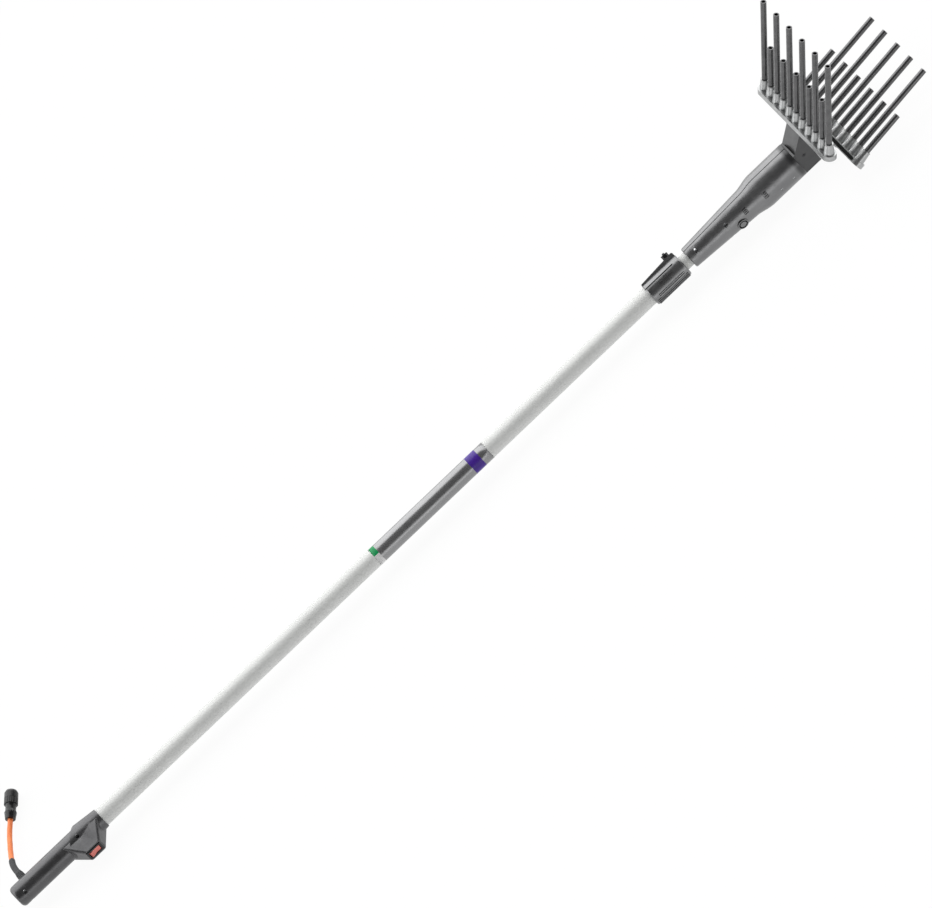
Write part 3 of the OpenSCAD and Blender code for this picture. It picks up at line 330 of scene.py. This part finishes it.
def skyRamp(tree, angle, course):
    ramp = addNode(tree, "ShaderNodeValToRGB")
    ramp.color_ramp.interpolation = "EASE"
    stops = ramp.color_ramp.elements
    while len(stops) < len(course):
        stops.new(0.5)
    for stop, (turn, share) in zip(stops, course):
        stop.position = turn / 180
        stop.color = (share, share, share, 1.0)
    tree.links.new(angle, ramp.inputs["Fac"])
    return ramp.outputs["Color"]


def setSky(look):
    world = bpy.data.worlds.new("studioSky")
    scene.world = world
    world.use_nodes = True
    tree = world.node_tree
    tree.nodes.clear()
    coords = addNode(tree, "ShaderNodeTexCoord")
    parts = addNode(tree, "ShaderNodeSeparateXYZ")
    tree.links.new(coords.outputs["Generated"], parts.inputs["Vector"])
    angle = addNode(tree, "ShaderNodeMath", operation="ARCTAN2")
    tree.links.new(parts.outputs["Z"], angle.inputs[0])
    tree.links.new(parts.outputs["Y"], angle.inputs[1])
    turn = spread(tree, angle.outputs["Value"], 0.0, 1.0, 0.0, math.pi)
    light = addNode(tree, "ShaderNodeLightPath")
    chosen = addNode(tree, "ShaderNodeMix", data_type="RGBA")
    tree.links.new(light.outputs["Is Glossy Ray"], chosen.inputs["Factor"])
    tree.links.new(skyRamp(tree, turn, look["soft"]), chosen.inputs["A"])
    tree.links.new(skyRamp(tree, turn, look["glossy"]), chosen.inputs["B"])
    lit = addNode(tree, "ShaderNodeBackground")
    lit.inputs["Strength"].default_value = look["strength"]
    tree.links.new(chosen.outputs["Result"], lit.inputs["Color"])
    white = addNode(tree, "ShaderNodeBackground")
    white.inputs["Strength"].default_value = 1.0
    white.inputs["Color"].default_value = (1.0, 1.0, 1.0, 1.0)
    mixed = addNode(tree, "ShaderNodeMixShader")
    out = addNode(tree, "ShaderNodeOutputWorld")
    tree.links.new(light.outputs["Is Camera Ray"], mixed.inputs["Fac"])
    tree.links.new(lit.outputs["Background"], mixed.inputs[1])
    tree.links.new(white.outputs["Background"], mixed.inputs[2])
    tree.links.new(mixed.outputs["Shader"], out.inputs["Surface"])


setFloor(floorLook)
setSky(skyLook)
print("stage set")


# small helpers for meshes
def newPiece(name, mesh):
    piece = bpy.data.objects.new(name, mesh)
    scene.collection.objects.link(piece)
    return piece


def pieceFrom(name, bm):
    bmesh.ops.recalc_face_normals(bm, faces=bm.faces)
    mesh = bpy.data.meshes.new(name)
    bm.to_mesh(mesh)
    bm.free()
    return newPiece(name, mesh)


def turnsAround(sides):
    return [2 * math.pi * k / sides for k in range(sides)]


def joinRings(bm, near, far):
    faces = []
    for k in range(len(near)):
        n = (k + 1) % len(near)
        faces.append(bm.faces.new((near[k], near[n], far[n], far[k])))
    return faces


# tube along a line of points, with a radius for each point and capped ends
def makeTube(name, points, radii, sides):
    bm = bmesh.new()
    rings = []
    side = None
    for i, point in enumerate(points):
        ahead = (points[min(i + 1, len(points) - 1)] - points[max(i - 1, 0)]).normalized()
        if side is None:
            side = ahead.cross(Vector((0.0, 0.0, 1.0))).normalized()
        side = (side - ahead * side.dot(ahead)).normalized()
        up = ahead.cross(side)
        rings.append([bm.verts.new(point + radii[i] * (math.cos(a) * side + math.sin(a) * up))
                      for a in turnsAround(sides)])
    for near, far in zip(rings, rings[1:]):
        for face in joinRings(bm, near, far):
            face.smooth = True
    bm.faces.new(rings[0][::-1])
    bm.faces.new(rings[-1])
    return pieceFrom(name, bm)


# smooth line through the given points
def smoothLine(points, steps):
    line = []
    last = len(points) - 1
    for i in range(last):
        a, b, c, d = (points[max(i - 1, 0)], points[i], points[i + 1], points[min(i + 2, last)])
        for k in range(steps):
            t = k / steps
            line.append(0.5 * (2 * b + (c - a) * t + (2 * a - 5 * b + 4 * c - d) * t ** 2
                               + (3 * b - a - 3 * c + d) * t ** 3))
    line.append(points[last])
    return line


# supply lead: orange cable from the gland to the plug, with a dark bend sleeve over its start; the
# route is in mm, along from the rear end of the grip, across from the pole axis and up from the floor
leadLook = {
    "route": ((33, 42, 34.5), (33, 50, 34.4), (34, 60, 33), (36, 70, 30.4), (39, 80, 27),
              (42, 90, 23.6), (46, 100, 20.6), (50, 110, 18), (55, 120, 15.9), (60, 130, 14.3),
              (66, 140, 13.2), (72, 149, 12.7), (79, 158, 12.5), (85, 166, 12.5)),
    "steps": 6, "sides": 24,
    "cable": 9.5 * mm, "sleeve": 11.5 * mm,
    "sleeveEnd": 4,  # the route's point where the sleeve ends
    "sleeveLip": (0.2 * mm, 0.8 * mm),  # how far its last two rings draw in
    "plug": ("plug_nut", "plug_body", "plug_ring", "plug_insert", "plug_contacts"),
}


def makeLead(look):
    points = [Vector((gripX + x * mm, y * mm, z * mm)) for x, y, z in look["route"]]
    line = smoothLine(points, look["steps"])
    lead = makeTube("supplyLead", line, [look["cable"] / 2] * len(line), look["sides"])
    lead.data.materials.append(finishes["cableOrange"])
    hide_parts("supply_cable")
    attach(lead, "pole")
    cover = line[:look["sleeveEnd"] * look["steps"] + 1]
    radii = [look["sleeve"] / 2] * len(cover)
    radii[-2:] = [look["sleeve"] / 2 - drop for drop in look["sleeveLip"]]
    sleeve = makeTube("bendSleeve", cover, radii, look["sides"])
    sleeve.data.materials.append(finishes["rubberDark"])
    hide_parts("cable_sleeve")
    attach(sleeve, "pole")


makeLead(leadLook)


# finishes of the CAD nodes, with the width of their soft edges in mm
dressing = {
    "tubeSilver": {"pole_tube": 0.3, "sliding_tube": 0.3},
    "shellGrey": {"head_shell_right": 0.6, "head_shell_left": 0.6},
    "clampGrey": {"clamp_collar": 0.6, "clamp_lever": 0.9},
    "gripGrey": {"handle_shell_right": 0.9, "handle_shell_left": 0.9},
    "trimBlack": {
        "switch_body": 0.4, "plug_nut": 0.2, "plug_body": 0.3, "plug_ring": 0.2, "clamp_nut": 0.3,
        "case_screws": 0.2, "pivot_screws": 0.3, "motor_cap": 0.0},
    "bearingPlastic": {"pole_bush": 0.0, "tube_slider": 0.0, "plug_insert": 0.0},
    "rubberDark": {"cable_gland": 0.3, "collar_wiper": 0.3},
    "rockerRed": {"switch_rocker": 0.4},
    "castSilver": {"front_plate": 0.4, "back_plate": 0.4, "front_arm": 0.5, "back_arm": 0.5},
    "rodBlack": {
        "front_long_rods": 0.3, "front_short_rods": 0.3, "back_long_rods": 0.3, "back_short_rods": 0.3},
    "steelBright": {
        "handle_screws": 0.3, "head_screws": 0.3, "clamp_hinge_pin": 0.2, "clamp_stud": 0.3,
        "motor_can": 0.0, "motor_shaft": 0.0, "crank_bearings": 0.0, "front_shaft": 0.0,
        "back_shaft": 0.0, "planet_carrier": 0.0, "crank_roller": 0.0},
    "steelDark": {
        "front_bolts": 0.3, "back_bolts": 0.3, "motor_rotor": 0.0, "ring_gear": 0.0, "crank_disc": 0.0},
    "caseAlloy": {"gear_cover": 0.0},
    "gearBrass": {
        "sun_gear": 0.0, "planet_gear_1": 0.0, "planet_gear_2": 0.0, "planet_gear_3": 0.0,
        "front_gear": 0.0, "back_gear": 0.0, "front_bushes": 0.0, "back_bushes": 0.0,
        "plug_contacts": 0.0},
    "boardGreen": {"control_board": 0.0},
}
edgeLook = {"weld": 0.005 * mm, "segments": 2, "fromAngle": 32.0}


def dressNode(node, finish, width, look):
    while node.data.materials:
        node.data.materials.pop()
    node.data.materials.append(finish)
    if width > 0:
        weld = node.modifiers.new("weld", "WELD")
        weld.merge_threshold = look["weld"]
        bevel = node.modifiers.new("edges", "BEVEL")
        bevel.width = width
        bevel.segments = look["segments"]
        bevel.limit_method = "ANGLE"
        bevel.angle_limit = math.radians(look["fromAngle"])
        bevel.use_clamp_overlap = True
        normals = node.modifiers.new("normals", "WEIGHTED_NORMAL")
        normals.keep_sharp = False


for finish, members in dressing.items():
    for name, width in members.items():
        dressNode(nodes[name], finishes[finish], width * mm, edgeLook)
print("nodes dressed")


# dark wrap round the pole, with a plain ring of colour near each end; the bands are given by where
# they end along the wrap, and the green one runs over an arc only, in degrees about the pole
wrapLook = {
    "from": -0.208, "radius": 17.68 * mm, "sides": 96, "lip": 0.2 * mm,
    "bands": ((0.011, "wrapGreen"), (0.231, "wrapDark"), (0.254, "wrapViolet"), (0.272, "wrapDark")),
    "arcs": {"wrapGreen": (-40.0, 128.0)},
}
finishes["wrapDark"] = mouldedFinish("wrapDark", {
    "dark": (0.25, 0.251, 0.255), "light": (0.28, 0.281, 0.285), "rough": (0.24, 0.32),
    "grain": 1600.0, "relief": 0.06, "blotch": 30.0, "metal": 0.8})
finishes["wrapPale"] = mouldedFinish("wrapPale", {
    "dark": (0.56, 0.56, 0.56), "light": (0.61, 0.61, 0.61), "rough": (0.30, 0.40),
    "grain": 1600.0, "relief": 0.06})
finishes["wrapGreen"] = mouldedFinish("wrapGreen", {
    "dark": (0.004, 0.22, 0.065), "light": (0.008, 0.27, 0.085), "rough": (0.30, 0.40),
    "grain": 1600.0, "relief": 0.06, "specular": 0.2})
finishes["wrapViolet"] = mouldedFinish("wrapViolet", {
    "dark": (0.040, 0.010, 0.20), "light": (0.055, 0.016, 0.26), "rough": (0.30, 0.40),
    "grain": 1600.0, "relief": 0.06, "specular": 0.3})


def makeWrap(look):
    words = list(dict.fromkeys(word for _, word in look["bands"])) + ["wrapPale"]
    stops = [0.0] + [stop for stop, _ in look["bands"]]
    bm = bmesh.new()
    rings = []
    for i, stop in enumerate([stops[0]] + stops + [stops[-1]]):
        along = look["from"] + stop
        radius = look["radius"] - (look["lip"] if i in (0, len(stops) + 1) else 0.0)
        rings.append([bm.verts.new((along, radius * math.cos(a), poleZ + radius * math.sin(a)))
                      for a in turnsAround(look["sides"])])
    for i, (near, far) in enumerate(zip(rings, rings[1:])):
        band = look["bands"][min(max(i - 1, 0), len(look["bands"]) - 1)][1]
        arc = look["arcs"].get(band)
        for k, face in enumerate(joinRings(bm, near, far)):
            turn = 360.0 * (k + 0.5) / look["sides"]
            inside = arc is None or arc[0] <= turn <= arc[1] or turn - 360.0 >= arc[0]
            face.material_index = words.index(band if inside else "wrapPale")
            face.smooth = True
    piece = pieceFrom("poleWrap", bm)
    for word in words:
        piece.data.materials.append(finishes[word])
    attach(piece, "pole")
    print("pole wrap made,", len(piece.data.polygons), "faces")


makeWrap(wrapLook)


# points with an aim and a size, as the base that a node tree sets its copies on
def pointBase(name, spots):
    mesh = bpy.data.meshes.new(name)
    mesh.from_pydata([place for place, _, _ in spots], [], [])
    mesh.attributes.new("aim", "FLOAT_VECTOR", "POINT")
    mesh.attributes.new("size", "FLOAT", "POINT")
    for i, (_, aim, size) in enumerate(spots):
        mesh.attributes["aim"].data[i].vector = aim
        mesh.attributes["size"].data[i].value = size
    return newPiece(name, mesh)


# geometry tree with the given inputs, and the node that gives them
def newTree(name, inputs):
    tree = bpy.data.node_groups.new(name, "GeometryNodeTree")
    tree.interface.new_socket(name="Geometry", in_out="OUTPUT", socket_type="NodeSocketGeometry")
    for word, kind in inputs.items():
        tree.interface.new_socket(name=word, in_out="INPUT", socket_type="NodeSocket" + kind)
    return tree, addNode(tree, "NodeGroupInput")


# run a tree on a base, keep the result as a plain mesh and drop the base
def bakeTree(base, tree, values, name):
    modifier = base.modifiers.new("copies", "NODES")
    modifier.node_group = tree
    for socket in tree.interface.items_tree:
        if socket.in_out == "INPUT" and socket.name in values:
            modifier[socket.identifier] = values[socket.name]
    view = bpy.context.evaluated_depsgraph_get()
    mesh = bpy.data.meshes.new_from_object(base.evaluated_get(view))
    mesh.name = name
    base.modifiers.remove(modifier)
    bpy.data.objects.remove(base)
    return newPiece(name, mesh)


# copies of one solid, turned to each point's aim and scaled by its size
def copiesOnPoints(tree, solid, points, material):
    aim = addNode(tree, "GeometryNodeInputNamedAttribute", data_type="FLOAT_VECTOR")
    aim.inputs["Name"].default_value = "aim"
    size = addNode(tree, "GeometryNodeInputNamedAttribute", data_type="FLOAT")
    size.inputs["Name"].default_value = "size"
    turn = addNode(tree, "FunctionNodeAlignRotationToVector", axis="Z")
    tree.links.new(aim.outputs["Attribute"], turn.inputs["Vector"])
    copies = addNode(tree, "GeometryNodeInstanceOnPoints")
    tree.links.new(points, copies.inputs["Points"])
    tree.links.new(solid, copies.inputs["Instance"])
    tree.links.new(turn.outputs["Rotation"], copies.inputs["Rotation"])
    tree.links.new(size.outputs["Attribute"], copies.inputs["Scale"])
    real = addNode(tree, "GeometryNodeRealizeInstances")
    tree.links.new(copies.outputs["Instances"], real.inputs["Geometry"])
    coat = addNode(tree, "GeometryNodeSetMaterial")
    tree.links.new(real.outputs["Geometry"], coat.inputs["Geometry"])
    tree.links.new(material, coat.inputs["Material"])
    out = addNode(tree, "NodeGroupOutput")
    tree.links.new(coat.outputs["Geometry"], out.inputs["Geometry"])


# flat outline filled and raised to a closed solid
seamGap = 0.0001  # points closer than this are joined, in the outline's own units


def raisedOutline(tree, curves, height):
    joined = addNode(tree, "GeometryNodeJoinGeometry")
    for curve in curves:
        tree.links.new(curve, joined.inputs["Geometry"])
    fill = addNode(tree, "GeometryNodeFillCurve")
    tree.links.new(joined.outputs["Geometry"], fill.inputs["Curve"])
    lifted = addNode(tree, "GeometryNodeExtrudeMesh")
    lifted.inputs["Individual"].default_value = False
    tree.links.new(fill.outputs["Mesh"], lifted.inputs["Mesh"])
    tree.links.new(height, lifted.inputs["Offset Scale"])
    turned = addNode(tree, "GeometryNodeFlipFaces")
    tree.links.new(fill.outputs["Mesh"], turned.inputs["Mesh"])
    closed = addNode(tree, "GeometryNodeJoinGeometry")
    tree.links.new(lifted.outputs["Mesh"], closed.inputs["Geometry"])
    tree.links.new(turned.outputs["Mesh"], closed.inputs["Geometry"])
    merged = addNode(tree, "GeometryNodeMergeByDistance")
    merged.inputs["Distance"].default_value = seamGap
    tree.links.new(closed.outputs["Geometry"], merged.inputs["Geometry"])
    return merged.outputs["Geometry"]


# caps with a hexagon drive on the screw heads. A screw is given in mm: its place along from the rear
# end of the grip or head, across and up from the pole axis, and a radius that rim, drive and height
# are shares of. It faces across, or, where a turn about the pole is given, outward at that reach
driveLook = {
    "rim": 0.96, "rimSides": 24, "driveSides": 6,
    "groups": (
        {"name": "handleDrives", "body": "pole", "start": gripX, "finish": "steelBright", "slot": "steel",
         "drive": 0.56, "height": 0.22,
         "screws": ((20.0, -12.1, 14.0, 3.0), (20.0, -12.1, -14.0, 3.0))},
        # dark caps with a tiny hole over the switch and pole screws: painted shade for their deep recesses
        {"name": "switchShadeCaps", "body": "pole", "start": gripX, "finish": "steelDark",
         "slot": "steel_dark", "drive": 0.16, "height": 0.86,
         "screws": ((153.0, -7.6, 21.5, 3.33), (153.0, -7.6, -21.5, 3.33))},
        {"name": "poleShadeCap", "body": "pole", "start": gripX, "finish": "steelDark",
         "slot": "steel_dark", "drive": 0.16, "height": 0.48, "turn": 154.0, "reach": 18.0,
         "screws": ((121.0, 0.0, 0.0, 3.33),)},
        {"name": "headDrives", "body": "head", "start": headX, "finish": "steelBright", "slot": "steel",
         "drive": 0.56, "height": 0.22,
         "screws": ((18.0, -11.6, 16.5, 3.0), (18.0, -11.6, -16.5, 3.0), (86.0, -15.6, 17.0, 3.0),
                    (86.0, -15.6, -17.0, 3.0), (201.0, -33.5, 0.0, 2.0), (230.0, -33.5, 0.0, 2.0),
                    (201.0, 33.5, 0.0, 2.0), (230.0, 33.5, 0.0, 2.0))},
        {"name": "pivotDrives", "body": "head", "start": headX, "finish": "steelDark",
         "slot": "steel_dark", "drive": 0.56, "height": 0.22,
         "screws": ((270.0, -20.0, 12.0, 3.2), (270.0, 20.0, -12.0, 3.2))},
    ),
}


def driveTree(look):
    tree, given = newTree("hexDrive", {
        "Geometry": "Geometry", "Rim": "Float", "Drive": "Float", "Height": "Float", "Finish": "Material"})
    curves = []
    for word, sides in (("Rim", look["rimSides"]), ("Drive", look["driveSides"])):
        ring = addNode(tree, "GeometryNodeCurvePrimitiveCircle")
        ring.inputs["Resolution"].default_value = sides
        tree.links.new(given.outputs[word], ring.inputs["Radius"])
        curves.append(ring.outputs["Curve"])
    cap = raisedOutline(tree, curves, given.outputs["Height"])
    copiesOnPoints(tree, cap, given.outputs["Geometry"], given.outputs["Finish"])
    return tree


def outward(turn):
    a = math.radians(turn)
    return Vector((0.0, math.cos(a), math.sin(a)))


def screwSpots(group):
    spots = []
    for along, across, up, radius in group["screws"]:
        aim = outward(group["turn"]) if "turn" in group else Vector((0.0, math.copysign(1.0, across), 0.0))
        place = Vector((group["start"] + along * mm, across * mm, poleZ + up * mm))
        spots.append((place + aim * group.get("reach", 0.0) * mm, aim, radius * mm))
    return spots


def makeDrives(look):
    tree = driveTree(look)
    for group in look["groups"]:
        name = group["name"]
        spots = screwSpots(group)
        piece = bakeTree(pointBase(name, spots), tree, {
            "Rim": look["rim"], "Drive": group["drive"], "Height": group["height"],
            "Finish": finishes[group["finish"]]}, name)
        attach(piece, group["body"])
        print(name, "set,", len(spots), "screws")


makeDrives(driveLook)


# place and normal of the head's surface, at a distance in mm from its rear end and a turn about the pole
probeStart = 80.0 * mm  # outside the head


def headSurface():
    points, faces = [], []
    for name in ("head_shell_right", "head_shell_left"):
        mesh = nodes[name].data
        start = len(points)
        points += [corner.co.copy() for corner in mesh.vertices]
        faces += [[start + k for k in face.vertices] for face in mesh.polygons]
    search = BVHTree.FromPolygons(points, faces)

    def find(along, turn):
        aim = outward(turn)
        axisPoint = Vector((headX + along * mm, 0.0, poleZ))
        place, normal, _, _ = search.ray_cast(axisPoint + aim * probeStart, -aim)
        return place, normal
    return find


onHead = headSurface()


# two rows of short vent slots on the side of the head, in mm; a row has its place along the head, the
# turn of its middle, its count of slots and the turn between them. Each slot is a raised rim over a thin
# black sheet, painted shade for the dark inside of the vent
ventLook = {
    "rows": ((173.0, 153.0, 4, 6.0), (128.0, 149.0, 4, 6.6)),
    "length": 10.5, "width": 3.0, "wall": 0.7, "rise": 0.75, "floor": 0.15, "sunk": 0.1,
    "roundShare": 0.49,  # corner radius as a share of the width
    "roundSteps": 5,
}


def ventTree(look):
    tree, given = newTree("ventSlot", {
        "Geometry": "Geometry", "Length": "Float", "Width": "Float", "Inner Length": "Float",
        "Inner Width": "Float", "Height": "Float", "Finish": "Material", "Open": "Bool"})
    curves = []
    for length, width in (("Length", "Width"), ("Inner Length", "Inner Width")):
        box = addNode(tree, "GeometryNodeCurvePrimitiveQuadrilateral")
        tree.links.new(given.outputs[length], box.inputs["Width"])
        tree.links.new(given.outputs[width], box.inputs["Height"])
        corner = addNode(tree, "ShaderNodeMath", operation="MULTIPLY")
        corner.inputs[1].default_value = look["roundShare"]
        tree.links.new(given.outputs[width], corner.inputs[0])
        rounded = addNode(tree, "GeometryNodeFilletCurve", mode="POLY")
        rounded.inputs["Count"].default_value = look["roundSteps"]
        tree.links.new(box.outputs["Curve"], rounded.inputs["Curve"])
        tree.links.new(corner.outputs["Value"], rounded.inputs["Radius"])
        curves.append(rounded.outputs["Curve"])
    rim = raisedOutline(tree, curves, given.outputs["Height"])
    floor = raisedOutline(tree, curves[1:], given.outputs["Height"])
    pick = addNode(tree, "GeometryNodeSwitch", input_type="GEOMETRY")
    tree.links.new(given.outputs["Open"], pick.inputs["Switch"])
    tree.links.new(floor, pick.inputs["False"])
    tree.links.new(rim, pick.inputs["True"])
    copiesOnPoints(tree, pick.outputs["Output"], given.outputs["Geometry"], given.outputs["Finish"])
    return tree


def makeVents(look):
    tree = ventTree(look)
    spots = []
    for along, middle, count, pitch in look["rows"]:
        for i in range(count):
            place, normal = onHead(along, middle + (i - (count - 1) / 2) * pitch)
            spots.append((place - normal * look["sunk"] * mm, normal, mm))
    sizes = {"Length": look["length"], "Width": look["width"],
             "Inner Length": look["length"] - 2 * look["wall"],
             "Inner Width": look["width"] - 2 * look["wall"]}
    for name, opened, height, finish, slot in (
            ("ventRims", True, look["rise"], "shellGrey", "shell_grey"),
            # the black sheet inside each slot is painted shade for the dark inside of the vent
            ("ventShadeSheets", False, look["floor"], "paintedShadeBlack", "trim_black")):
        piece = bakeTree(pointBase(name, spots), tree, {
            **sizes, "Height": height, "Open": opened, "Finish": finishes[finish]}, name)
        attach(piece, "head")
    print("vents set,", len(spots))


makeVents(ventLook)


# plain round boss on the side of the head, turned about its own axis: radius and rise in mm, from its
# crown to its foot, and the steps of that profile that are dark: painted shade in its groove and under its
# rim
bossLook = {
    "along": 110.0, "turn": 186.0, "sides": 72,
    "profile": ((0.0, 2.0), (5.2, 2.0), (6.2, 1.7), (6.6, 0.5), (8.2, 0.5), (8.6, 1.7), (9.4, 2.0),
                (10.2, 1.8), (10.8, 0.9), (11.0, -2.6)),
    "dark": (2, 3, 4, 8),
}


def makeBoss(look):
    foot, aim = onHead(look["along"], look["turn"])
    side = (Vector((1.0, 0.0, 0.0)) - aim * aim.x).normalized()
    up = aim.cross(side)
    bm = bmesh.new()
    crown = bm.verts.new(foot + aim * look["profile"][0][1] * mm)
    rings = []
    for radius, rise in look["profile"][1:]:
        middle = foot + aim * rise * mm
        rings.append([bm.verts.new(middle + (math.cos(a) * side + math.sin(a) * up) * radius * mm)
                      for a in turnsAround(look["sides"])])
    for k in range(look["sides"]):
        n = (k + 1) % look["sides"]
        bm.faces.new((crown, rings[0][k], rings[0][n])).smooth = True
        for step, (near, far) in enumerate(zip(rings, rings[1:]), 1):
            face = bm.faces.new((near[k], far[k], far[n], near[n]))
            # the dark steps are painted shade in the groove and under the rim
            face.material_index = int(step in look["dark"])
            face.smooth = True
    bm.faces.new(rings[-1][::-1])
    piece = pieceFrom("headBoss", bm)
    piece.data.materials.append(finishes["shellGrey"])
    piece.data.materials.append(finishes["paintedShadeBlack"])
    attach(piece, "head")
    print("head boss made,", len(piece.data.polygons), "faces")


makeBoss(bossLook)


# dark strip with round ends on the inner long side of each comb's plate, painted shade where that side
# faces the other comb, in mm; a seat is the strip's middle, as a place in the frame, and the way that it
# faces
plateShadeLook = {
    "half": 106.5, "high": 3.2, "sunk": 0.5, "proud": 0.3, "ease": 0.3, "segments": 10,
    "seats": (("frontPlateShade", "comb_front", (0.86166, 0.0, 0.08952), (0.857, 0.0, -0.515)),
              ("backPlateShade", "comb_back", (0.8759, 0.0, 0.04441), (-0.156, 0.0, 0.988))),
}


# outline of the strip, as places along and up from its middle
def plateShadeOutline(look, inset):
    radius = look["high"] - inset
    outline = []
    for end in (1.0, -1.0):
        middle = end * (look["half"] - look["high"])
        for k in range(look["segments"] + 1):
            a = math.pi * (k / look["segments"] - 0.5) + (0.0 if end > 0 else math.pi)
            outline.append((middle + radius * math.cos(a), radius * math.sin(a)))
    return outline


def makePlateShades(look):
    levels = ((-look["sunk"], 0.0), (look["proud"] - look["ease"], 0.0), (look["proud"], look["ease"]))
    along = Vector((0.0, 1.0, 0.0))
    for name, body, seat, facing in look["seats"]:
        out = Vector(facing).normalized()
        up = out.cross(along)
        bm = bmesh.new()
        rings = []
        for rise, inset in levels:
            middle = Vector(seat) + out * rise * mm
            rings.append([bm.verts.new(middle + along * far * mm + up * high * mm)
                          for far, high in plateShadeOutline(look, inset)])
        for near, far in zip(rings, rings[1:]):
            joinRings(bm, near, far)
        bm.faces.new(rings[0][::-1])
        bm.faces.new(rings[-1])
        piece = pieceFrom(name, bm)
        # matt black: painted shade on the plate's inner side
        piece.data.materials.append(finishes["paintedShadeBlack"])
        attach(piece, body)
        print(name, "made,", len(piece.data.polygons), "faces")


makePlateShades(plateShadeLook)
